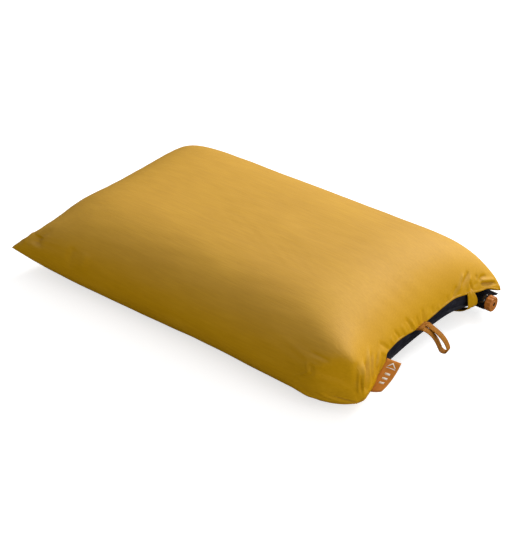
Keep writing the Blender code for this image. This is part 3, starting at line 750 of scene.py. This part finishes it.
def moulded_plastic(name, color, roughness, edge, coat=0.0):
    """Plastic with a fine grain, faint wear and softened edges."""
    n = Surface(name)
    grain = n.noise((900, 900, 900))
    wear = n.noise((120, 120, 120), detail=3.0)
    lighter = tuple(min(1.0, c * 1.25 + 0.004) for c in color)
    rounded = n.add("ShaderNodeBevel", {"Radius": edge}, samples=6)
    return n.finish({
        "Base Color": n.ramp(wear, [(0.4, color), (0.75, lighter)]),
        "Normal": n.bump(grain, 0.08, 0.1 * MM, rounded.outputs["Normal"]),
        "Roughness": roughness,
        "Coat Weight": coat,
        "Coat Roughness": 0.08,
    })


def seal_rubber():
    n = Surface("seal_rubber")
    dust = n.noise((500, 500, 500))
    tones = [(0.4, (0.02, 0.02, 0.02)), (0.8, (0.05, 0.05, 0.05))]
    return n.finish({"Base Color": n.ramp(dust, tones), "Roughness": 0.65})


def open_cell_foam():
    n = Surface("open_cell_foam")
    inputs = {"Vector": n.coords((1, 1, 1)), "Scale": 900}
    cells = n.add("ShaderNodeTexVoronoi", inputs).outputs["Distance"]
    return n.finish({
        "Base Color": n.ramp(cells, [(0.0, (0.50, 0.42, 0.26)), (0.6, (0.80, 0.72, 0.52))]),
        "Normal": n.bump(cells, 0.8, 0.6 * MM),
        "Roughness": 0.95,
    })


def woven_tape(name, dark, light, pitch):
    """Narrow woven tape: a herringbone of yarns, painted lighter where they stand up and darker between them,
    as painted highlight and shade.
    """
    n = Surface(name)
    over = n.wave((1 / pitch, 1 / pitch, 1 / pitch), distortion=0.6)
    mottle = n.noise((130, 130, 130), detail=3.0)
    return n.finish({
        # Painted highlight and shade: the tone follows the yarns' relief, lighter where they stand up.
        "Base Color": n.ramp(n.weighted(over, 0.45, mottle), [(0.25, dark), (0.75, light)]),
        "Normal": n.bump(over, 0.5, 0.25 * MM),
        "Roughness": 0.75,
        "Specular IOR Level": 0.2,
    })


def stitch_thread(name, color):
    n = Surface(name)
    twist = n.wave((1800, 1800, 1800))
    darker = tuple(c * 0.75 for c in color)
    return n.finish({
        "Base Color": n.ramp(twist, [(0.2, darker), (0.7, color)]),
        "Normal": n.bump(twist, 0.4, 0.1 * MM),
        "Roughness": 0.6,
    })


def pale_floor():
    """A white sweep that stays white in view, while the object sees a floor that gives back less light."""
    n = Surface("pale_floor")
    n.tree.nodes.remove(n.shader)
    seen = n.add("ShaderNodeBsdfDiffuse", {"Color": (0.62, 0.62, 0.62, 1)})
    glow = n.add("ShaderNodeEmission", {"Strength": 0.66})
    lit = n.add("ShaderNodeAddShader", {0: seen.outputs[0], 1: glow.outputs[0]})
    bounce = n.add("ShaderNodeBsdfDiffuse", {"Color": (0.42, 0.42, 0.42, 1)})
    in_view = n.add("ShaderNodeLightPath", {}).outputs["Is Camera Ray"]
    choice = n.add("ShaderNodeMixShader", {0: in_view, 1: bounce.outputs[0], 2: lit.outputs[0]})
    n.put(choice.outputs[0], n.tree.nodes["Material Output"].inputs["Surface"])
    return n.material


# ---------------------------------------------------------------- the bladder

BLADDER_ENDS, BLADDER_HALF_WIDTH = (0.262, 0.2655), 0.1592
BLADDER_INSET, BLADDER_END_PULL, BLADDER_END_RIMS = 2.6 * MM, 0.014, (0.034, 0.0266)
BLADDER_BULGE, BULGE_HEIGHT = 5.5 * MM, 34 * MM
BLADDER_WALL = 0.9 * MM
FLANGE = 5.0 * MM
VALVE = Vector(JOINTS["valve_twist"]["pos_m"])
STRAP_Y = VALVE.y - 27 * MM
STRAP_BULGE, STRAP_BULGE_WIDTH = 6 * MM, 22 * MM
BASE_LOW, BASE_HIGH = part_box("valve_weld_base")
BASE_CLEARANCE, BASE_RAMP = 0.8 * MM, 5 * MM
# The sheets' gap at the weld, and how far either side of the valve their edge is cut back to its base.
WELD_GAP, CUT_BACK_WIDTH, CUT_BACK = 0.25 * MM, 16 * MM, 0.3 * MM


def over_valve(x, y):
    """How far a sheet stands off the rim to pass round the valve's weld base."""
    half_width = (BASE_HIGH.y - BASE_LOW.y) / 2 + 2 * MM
    across = np.clip(1 - ((y - VALVE.y) / half_width) ** 2, 0, None)
    along = smooth((x - BASE_LOW.x + BASE_RAMP) / BASE_RAMP)
    return ((BASE_HIGH.z - BASE_LOW.z) / 2 + BASE_CLEARANCE) * along * across**0.75


def bladder_sheet(name, side):
    shell = Shell(
        BLADDER_ENDS, BLADDER_HALF_WIDTH, BLADDER_INSET, BLADDER_END_PULL, BLADDER_CORNERS, BLADDER_RIM,
        BLADDER_TIGHTNESS, BLADDER_BOXINESS, BLADDER_END_RIMS, BLADDER_RIM_POWERS,
    )
    u, v = np.meshgrid(eased(110), eased(76), indexing="ij")
    points = shell.point(u, v, side)
    rim = shell.rim_height(u, v)
    stand_off = over_valve(points[..., 0], points[..., 1]) + WELD_GAP
    points[..., 2] = rim + side * np.maximum(side * (points[..., 2] - rim), stand_off)
    if side > 0:
        above = np.clip((points[..., 2] - rim) / BULGE_HEIGHT, 0, 1)
        points[..., 0] += BLADDER_BULGE * np.sin(math.pi * above) * smooth((u - 0.9) / 0.06)
    towards_strap = np.exp(-(((points[..., 1] - STRAP_Y) / STRAP_BULGE_WIDTH) ** 2))
    points[..., 0] += STRAP_BULGE * towards_strap * smooth((u - 0.7) / 0.3)
    points = with_flange(points)
    beside_valve = smooth((CUT_BACK_WIDTH - np.abs(points[..., 1] - VALVE.y)) / (4 * MM))
    beyond = np.maximum(0, points[..., 0] - (BASE_HIGH.x - CUT_BACK))
    points[..., 0] -= beyond * beside_valve
    return sheet_object(name, points, side)


def creases(coords):
    """Soft wrinkles across the end of the bladder, above its welded edge."""
    near_mouth = smooth((coords[:, 0] - 0.22) / 0.03) * smooth((coords[:, 2] - 0.029) / 0.006)
    broad = soft_noise(coords, (0.06, 0.030, 0.024), 21)
    narrow = soft_noise(coords, (0.06, 0.012, 0.020), 22)
    return near_mouth * MM * (0.8 * broad + 0.25 * narrow)


def with_flange(points):
    """Adds the flat welded edge round a sheet: a row of points outside each border."""
    padded = np.pad(points, ((1, 1), (1, 1), (0, 0)), mode="edge")
    padded[0, :, 0] -= FLANGE
    padded[-1, :, 0] += FLANGE
    padded[:, 0, 1] -= FLANGE
    padded[:, -1, 1] += FLANGE
    return padded


def sheet_object(name, points, side):
    nu, nv = points.shape[:2]
    quads = grid_quads(np.arange(nu * nv).reshape(nu, nv), side)
    obj = new_mesh_object(name, points.reshape(-1, 3), quads)
    coords, normals = coords_of(obj.data), normals_of(obj.data)
    set_coords(obj.data, coords + normals * creases(coords)[:, None])
    thicken(obj, BLADDER_WALL / 2)
    return obj


def make_bladder(material):
    for side, name in ((1, "top"), (-1, "bottom")):
        sheet = bladder_sheet(f"bladder_{name}_cloth", side)
        place_piece(sheet, material, "pillow", "bladder", f"bladder_{name}_sheet")


# ---------------------------------------------------------------- hems, strap and stitches

# The rolled hem seen end on, in millimetres: how far beyond the lip, and how far out of the cloth.
HEM_OUTLINE = (
    (-1.5, 0.15), (0.6, 0.05), (1.5, -0.6), (1.7, -1.4), (1.1, -2.3), (-1.5, -2.6),
    (-8.5, -2.4), (-8.5, -1.8), (-1.5, -1.7), (0.1, -1.35), (-0.2, -0.95), (-1.5, -0.95),
)


def lip_place(side, v):
    return upper_lip(v) if side > 0 else lower_lip(v)


def lip_frames(lips, side):
    """The points along an open lip of the mouth, with the ways on beyond the cloth and out of it at each."""
    v_line = eased(WIDTH_CELLS, 0.6)
    chosen = (v_line >= MOUTH_NEAR + 0.03) & (v_line <= MOUTH_FAR - 0.03)
    points, v = lips[side][chosen], v_line[chosen]
    lip = lip_place(side, v)
    shell = cover_shell()
    back = shell.point(lip * 0.985, v, side)
    front = shell.point(lip, v, side)
    out = front - back
    out /= np.linalg.norm(out, axis=1, keepdims=True)
    along = np.gradient(points, axis=0)
    normal = np.cross(out, along) * side
    normal /= np.linalg.norm(normal, axis=1, keepdims=True)
    return points, out, normal


def make_hem(lips, side, name, material):
    frames = zip(*lip_frames(lips, side))
    sections = [[Vector(p + o * a * MM + n * b * MM) for a, b in HEM_OUTLINE] for p, o, n in frames]
    hem = object_from_bmesh(f"{name}_cloth", sweep(sections))
    place_piece(hem, material, "pillow", "hem", name, name.replace("hem", "elastic"))


STITCH_PITCH, STITCH_LENGTH, STITCH_RADIUS = 3.4 * MM, 2.5 * MM, 0.28 * MM
STITCH_SET_BACK, STITCH_REACH = 7.5 * MM, 12 * MM
# Along a stitch: how far along, how high in radii, and how thick in radii.
STITCH_SHAPE = ((0, -0.8, 0.5), (0.15, 0.3, 0.95), (0.5, 0.7, 1.0), (0.85, 0.3, 0.95), (1, -0.8, 0.5))


def capsule(bm, start, end, normal, radius):
    """Adds one stitch: a short thread that rises out of the cloth and goes back in."""
    along = (end - start).normalized()
    side = normal.cross(along).normalized()
    rings = []
    for t, rise, size in STITCH_SHAPE:
        centre = start.lerp(end, t) + normal * radius * rise
        ring = []
        for k in range(6):
            angle = math.pi * k / 3
            spoke = side * math.cos(angle) + normal * math.sin(angle)
            ring.append(bm.verts.new(centre + spoke * radius * size))
        rings.append(ring)
    join_rings(bm, rings)


def stitch_row(name, points, directions, panel, material):
    """A row of stitches along a line, laid where a look back along each direction meets the panel."""
    tree = BVHTree.FromObject(panel, bpy.context.evaluated_depsgraph_get())
    landed = []
    for point, direction in zip(points, directions):
        out = Vector(direction).normalized()
        place, normal, _, _ = tree.ray_cast(Vector(point) + out * STITCH_REACH, -out, 2 * STITCH_REACH)
        if place is not None:
            landed.append((place, normal if normal.dot(out) > 0 else -normal))
    bm = bmesh.new()
    walked, next_stitch = 0.0, 0.0
    for (a, normal_a), (b, _) in zip(landed, landed[1:]):
        length = (b - a).length
        while length > 1e-6 and walked + length >= next_stitch:
            start = a.lerp(b, (next_stitch - walked) / length)
            capsule(bm, start, start + (b - a).normalized() * STITCH_LENGTH, normal_a, STITCH_RADIUS)
            next_stitch += STITCH_PITCH
        walked += length
    bmesh.ops.recalc_face_normals(bm, faces=bm.faces)
    row = object_from_bmesh(name, bm)
    place_piece(row, material, "pillow", "hem")


def line_behind_lip(side, distance):
    """Places on the cloth at one distance behind a lip of the mouth, and the way out of the cloth there."""
    v = np.linspace(MOUTH_NEAR + 0.04, MOUTH_FAR - 0.04, 160)
    shell = cover_shell()
    lip = lip_place(side, v)
    edge = shell.point(lip, v, side)

    def far_behind(u):
        return np.linalg.norm(shell.point(u, v, side) - edge, axis=1) > distance

    place = last_place(lip - 0.2, lip, far_behind)
    points = shell.point(place, v, side)
    back = shell.point(place - 0.004, v, side) - points
    out = np.cross(np.gradient(points, axis=0), back) * -side
    return points, out / np.linalg.norm(out, axis=1, keepdims=True)


def make_hem_stitches(top, bottom, material):
    for side, panel, name in ((1, top, "upper"), (-1, bottom, "lower")):
        points, out = line_behind_lip(side, STITCH_SET_BACK)
        out[:, 2] = side * np.abs(out[:, 2])
        stitch_row(f"hem_stitches_{name}", points, out, panel, material)


# The strap's edges from the upper hem to the lower one, as (x, y, z) in millimetres from the valve's joint.
STRAP_NEAR_EDGE = (
    (-3.0, -36.5, 32.5), (5.5, -35.5, 29.5), (8.3, -34.8, 25.0), (9.0, -34.3, 17.0), (9.6, -33.8, 9.5),
    (10.2, -33.4, 3.0), (2.5, -33.0, -5.5), (-16.0, -32.0, -12.5), (-30.0, -31.0, -17.0),
)
STRAP_FAR_EDGE = (
    (-1.0, -26.0, 30.5), (8.0, -25.0, 28.0), (11.5, -23.5, 24.0), (14.0, -20.5, 17.0), (15.0, -18.3, 9.0),
    (13.5, -17.5, 1.5), (5.0, -17.0, -7.0), (-11.0, -17.0, -13.0), (-27.0, -17.0, -17.5),
)
# The folds across the strap: a share of the way from near edge to far edge, and a height in millimetres.
STRAP_FOLDS = ((0, 0), (0.18, 1.0), (0.34, 0.5), (0.46, -0.6), (0.6, 0.7), (0.8, 1.5), (1, 0))
STRAP_HALF_WALL = 0.5


def rounded_path(path, times):
    """A rounded, denser version of a path, keeping its ends."""
    points = np.array(path, float)
    for _ in range(times):
        cut = np.empty((2 * len(points) - 2, 3))
        cut[0::2] = 0.75 * points[:-1] + 0.25 * points[1:]
        cut[1::2] = 0.25 * points[:-1] + 0.75 * points[1:]
        cut[0], cut[-1] = points[0], points[-1]
        points = cut
    return points


def make_strap(material):
    """The short strap between the mouth and the valve's opening, gathered at its top, folded lengthwise."""
    edges = [[VALVE + Vector(p) * MM for p in edge] for edge in (STRAP_NEAR_EDGE, STRAP_FAR_EDGE)]
    near, far = (rounded_path(edge, 3) for edge in edges)
    sections = []
    for k in range(len(near)):
        before, after = max(0, k - 1), min(len(near) - 1, k + 1)
        ahead = (near[after] + far[after]) - (near[before] + far[before])
        across = far[k] - near[k]
        away = np.cross(across, ahead)
        away /= np.linalg.norm(away)
        bunched = 1.0 - 0.5 * float(smooth(k / len(near) * 2.5))
        front, back = (
            [Vector(near[k] + across * t + away * MM * (bunched * h + wall)) for t, h in STRAP_FOLDS]
            for wall in (STRAP_HALF_WALL, -STRAP_HALF_WALL)
        )
        sections.append(front + back[::-1])
    strap = object_from_bmesh("mouth_strap_cloth", sweep(sections))
    place_piece(strap, material, "pillow", "hem", "mouth_bridge_strap")


# ---------------------------------------------------------------- the pull loop

LOOP_YAW = math.radians(6)
LOOP_START, LOOP_END = math.radians(8), math.radians(76)
LOOP_LENGTH, LOOP_BELLY = 0.0450, 0.0060
LOOP_WIDTH, LOOP_THICKNESS = 0.0096, 1.3 * MM
LOOP_SPLAY, LOOP_ROOT_GAP = 5.2 * MM, 0.8 * MM
# The sewn end that the loop hangs from, as (x, z) in millimetres from its joint, and how many tapes thick.
SEWN_END, SEWN_LAYERS = ((-9.0, -3.6), (-6.0, -2.6), (-3.0, -1.0), (0.0, -0.2), (1.5, -0.5)), 2.4
# Round a tape, in half widths and half thicknesses.
TAPE_OUTLINE = (
    (-1, 0.35), (-0.88, 1), (0, 1), (0.88, 1), (1, 0.35),
    (1, -0.35), (0.88, -1), (0, -1), (-0.88, -1), (-1, -0.35),
)


def loop_arch(distance):
    """A point of the loop's middle line and its direction: it leaves the hem level and droops further out."""
    radius = LOOP_LENGTH / (LOOP_END - LOOP_START)
    droop = LOOP_START + distance / radius
    out = radius * (math.sin(droop) - math.sin(LOOP_START))
    down = radius * (math.cos(LOOP_START) - math.cos(droop))
    return Vector((out, 0, -down)), Vector((math.cos(droop), 0, -math.sin(droop)))


def loop_path():
    """The webbing's centre line: two legs that start side by side, run apart and meet in a round bend."""
    straight = LOOP_LENGTH - LOOP_BELLY
    upper, lower = [], []
    for t in np.linspace(0, 1, 18):
        place, ahead = loop_arch(straight * t)
        normal = Vector((-ahead.z, 0, ahead.x))
        gap = LOOP_ROOT_GAP + (LOOP_BELLY - LOOP_ROOT_GAP) * float(smooth((t - 0.15) / 0.85))
        across = Vector((0, LOOP_SPLAY * (1 - t) ** 1.1, 0))
        upper.append(place + across + normal * gap)
        lower.append(place - across - normal * gap)
    bend = [
        place + (ahead * math.cos(angle) + normal * math.sin(angle)) * LOOP_BELLY
        for angle in np.linspace(math.pi / 2, -math.pi / 2, 13)[1:-1]
    ]
    return upper + bend + lower[::-1]


def make_tape(name, path, width, thickness, material, body, *replaced):
    """A tape along a path of points that are measured from the loop's joint, along and across the loop."""
    level = Vector((0, 1, 0))
    sections = []
    for k, centre in enumerate(path):
        tangent = (path[min(len(path) - 1, k + 1)] - path[max(0, k - 1)]).normalized()
        side = (level - tangent * level.dot(tangent)).normalized()
        up = side.cross(tangent)
        sections.append([centre + side * width / 2 * a + up * thickness / 2 * b for a, b in TAPE_OUTLINE])
    tape = object_from_bmesh(name, sweep(sections))
    root = Matrix.Translation(Vector(JOINTS["loop_swing"]["pos_m"]))
    tape.data.transform(root @ Matrix.Rotation(LOOP_YAW, 4, "Z"))
    place_piece(tape, material, body, "webbing", *replaced)


def make_pull_loop(webbing):
    make_tape("pull_loop_webbing", loop_path(), LOOP_WIDTH, LOOP_THICKNESS, webbing, "pull_loop", "pull_loop")
    path = [Vector((x, 0, z)) * MM for x, z in SEWN_END]
    width, thickness = LOOP_WIDTH + 2 * LOOP_SPLAY, SEWN_LAYERS * LOOP_THICKNESS
    make_tape("pull_loop_sewn_end", path, width, thickness, webbing, "pillow")


# ---------------------------------------------------------------- the label

LABEL_WIDTH, LABEL_HEIGHT, LABEL_THICKNESS = 0.0195, 0.046, 0.45 * MM
# How much of the label is below its joint, and how its foot is narrowed, drawn up and bent away.
LABEL_BELOW = 0.47
FOOT_NARROWING, FOOT_RISE, FOOT_BEND = 0.10, 5.5 * MM, Vector((-6.5, -2.0, 0.5)) * MM


def label_axes():
    up = Vector(JOINTS["label_flap"]["axis"]).normalized()
    out = Vector((1.0, 0.0, -0.25))
    out = (out - up * out.dot(up)).normalized()
    return out, up, out.cross(up)


def label_point(s, t, layer, lift=0.0):
    """A point of the label: s from seam (0) to fold (1), t from foot (0) to top (1), layer from -1 to 1."""
    out, up, normal = label_axes()
    at_foot = (1 - t) ** 2
    belly = (0.45 + 0.5 * s + 1.5 * at_foot * math.sin(math.pi * min(1.0, s * 0.95))) * MM
    curl = (1.6 * s * s - 1.2 * math.sin(math.pi * t) * s) * MM
    along = LABEL_WIDTH * s * (1 - FOOT_NARROWING * (1 - t))
    above = LABEL_HEIGHT * (t - LABEL_BELOW) + FOOT_RISE * s**1.5 * at_foot
    place = Vector(JOINTS["label_flap"]["pos_m"]) + out * along + up * above + FOOT_BEND * at_foot
    return place + normal * (curl + layer * (belly + lift))


def label_outline():
    """Round the folded label seen end on, as (s, layer, lift): its outside, then back along its inside."""
    outside, inside = np.linspace(0, 0.96, 10), np.linspace(0, 0.93, 10)
    line = [(s, 1, 0.0) for s in outside]
    line += [(1.0, layer, 0.0) for layer in (0.55, 0.0, -0.55)]
    line += [(s, -1, 0.0) for s in outside[::-1]]
    line += [(s, -1, -LABEL_THICKNESS) for s in inside]
    line += [(0.965, 0.0, 0.0)]
    return line + [(s, 1, -LABEL_THICKNESS) for s in inside[::-1]]


def make_label(material, print_material):
    heights = np.linspace(0, 1, 15)
    sections = [[label_point(s, t, layer, lift) for s, layer, lift in label_outline()] for t in heights]
    label = object_from_bmesh("side_label_cloth", sweep(sections))
    place_piece(label, material, "side_label", "label", "side_label")
    make_label_print(print_material)


# A plain outline of a tent and three bars, each a closed shape of (s, t) corners on the label's face.
LABEL_MARKS = [
    [(0.20, 0.80), (0.28, 0.80), (0.52, 0.885), (0.76, 0.80), (0.84, 0.80), (0.52, 0.935)],
    [(0.20, 0.775), (0.84, 0.775), (0.84, 0.755), (0.20, 0.755)],
    [(0.34, 0.62), (0.70, 0.62), (0.70, 0.56), (0.34, 0.56)],
    [(0.34, 0.48), (0.70, 0.48), (0.70, 0.42), (0.34, 0.42)],
    [(0.34, 0.34), (0.70, 0.34), (0.70, 0.28), (0.34, 0.28)],
]


def make_label_print(material):
    bm = bmesh.new()
    for mark in LABEL_MARKS:
        low = [bm.verts.new(label_point(s, t, 1, -0.05 * MM)) for s, t in mark]
        high = [bm.verts.new(label_point(s, t, 1, 0.10 * MM)) for s, t in mark]
        join_rings(bm, [low, high])
    bmesh.ops.recalc_face_normals(bm, faces=bm.faces)
    place_piece(object_from_bmesh("side_label_motif", bm), material, "side_label", "label")


# ---------------------------------------------------------------- the CAD pieces that show


def finish_cad(material, *nodes):
    for node in nodes:
        slots = frame["nodes"][node].data.materials
        slots.clear()
        slots.append(material)


def finish_cad_pieces():
    black = moulded_plastic("black_plastic", (0.008, 0.008, 0.009), 0.16, 1.3 * MM, coat=0.6)
    orange = moulded_plastic("orange_plastic", (0.42, 0.135, 0.014), 0.42, 0.4 * MM)
    finish_cad(black, "valve_weld_base", "valve_body", "valve_plug")
    finish_cad(orange, "valve_knob")
    finish_cad(seal_rubber(), "plug_o_ring", "knob_o_ring")
    finish_cad(open_cell_foam(), "foam_core")


# ---------------------------------------------------------------- floor, light and camera

CAMERA_AZIMUTH, CAMERA_ELEVATION = math.radians(38.69), math.radians(32.78)
CAMERA_DISTANCE = 1.908
CAMERA_TARGET = Vector((0.0042, -0.0082, 0.026))
CAMERA_LENS = 90.4
# The light from all round: how strong on its dark and its bright side, and which way the bright side is.
STUDIO_STRENGTH = (0.02, 0.93)
BRIGHT_SIDE = (0.9, 0.0, 0.43)
LIGHTS_AIM = Vector((0, 0, 0.05))


def make_camera():
    camera = new_object("camera", bpy.data.cameras.new("camera"))
    level, above = math.cos(CAMERA_ELEVATION), math.sin(CAMERA_ELEVATION)
    back = Vector((math.sin(CAMERA_AZIMUTH) * level, -math.cos(CAMERA_AZIMUTH) * level, above))
    camera.location = CAMERA_TARGET + back * CAMERA_DISTANCE
    camera.rotation_euler = (-back).to_track_quat("-Z", "Y").to_euler()
    camera.data.lens = CAMERA_LENS
    bpy.context.scene.camera = camera


def area_light(name, place, size, power):
    light = bpy.data.lights.new(name, "AREA")
    light.shape = "DISK"
    light.size, light.energy = size, power
    obj = new_object(name, light)
    obj.location = place
    obj.rotation_euler = (LIGHTS_AIM - Vector(place)).to_track_quat("-Z", "Y").to_euler()


def light_the_studio(world):
    """Soft white light from all round that grows brighter towards one side."""
    n = Nodes(world)
    direction = n.add("ShaderNodeTexCoord", {}).outputs["Generated"]
    towards = n.add("ShaderNodeVectorMath", {0: direction, 1: BRIGHT_SIDE}, operation="DOT_PRODUCT")
    background = n.tree.nodes["Background"]
    n.put(n.spread(towards.outputs["Value"], -1, 1, *STUDIO_STRENGTH), background.inputs["Strength"])
    n.put((1, 1, 1, 1), background.inputs["Color"])


def make_studio():
    floor = new_mesh_object("floor", [(-6, -6, 0), (6, -6, 0), (6, 6, 0), (-6, 6, 0)], [(0, 1, 2, 3)])
    floor.data.materials.append(pale_floor())
    floor.location.z = -0.2 * MM
    floor.visible_glossy = False
    scene = bpy.context.scene
    scene.world = bpy.data.worlds.new("studio")
    scene.world.cycles_visibility.glossy = False
    scene.view_settings.view_transform = "Standard"
    light_the_studio(scene.world)
    area_light("key_light", (0.35, 2.0, 1.7), 1.5, 63)
    area_light("top_light", (0.0, 1.2, 2.3), 2.4, 8)
    area_light("right_fill", (2.3, 0.1, 0.6), 1.2, 9)


# ---------------------------------------------------------------- build


def build():
    knit = mustard_knit()
    hem_cloth = mustard_knit("hem_knit", 0.95)
    webbing = woven_tape("orange_webbing", (0.25, 0.088, 0.004), (0.37, 0.142, 0.009), 0.9 * MM)
    label_cloth = woven_tape("orange_label", (0.50, 0.175, 0.022), (0.60, 0.225, 0.035), 0.35 * MM)
    label_thread = woven_tape("label_thread", (0.72, 0.66, 0.56), (0.86, 0.82, 0.74), 0.35 * MM)
    (top, bottom), lips = make_cover()
    for panel, name in ((top, "cover_top"), (bottom, "cover_bottom")):
        panel.name = f"{name}_cloth"
        place_piece(panel, knit, "pillow", "knit", f"{name}_panel")
    make_bladder(coated_charcoal())
    make_hem(lips, 1, "mouth_hem_upper", hem_cloth)
    make_hem(lips, -1, "mouth_hem_lower", hem_cloth)
    make_strap(hem_cloth)
    thread = stitch_thread("mustard_thread", (0.52, 0.27, 0.012))
    make_hem_stitches(top, bottom, thread)
    make_pull_loop(webbing)
    make_label(label_cloth, label_thread)
    finish_cad_pieces()
    make_studio()
    make_camera()


build()
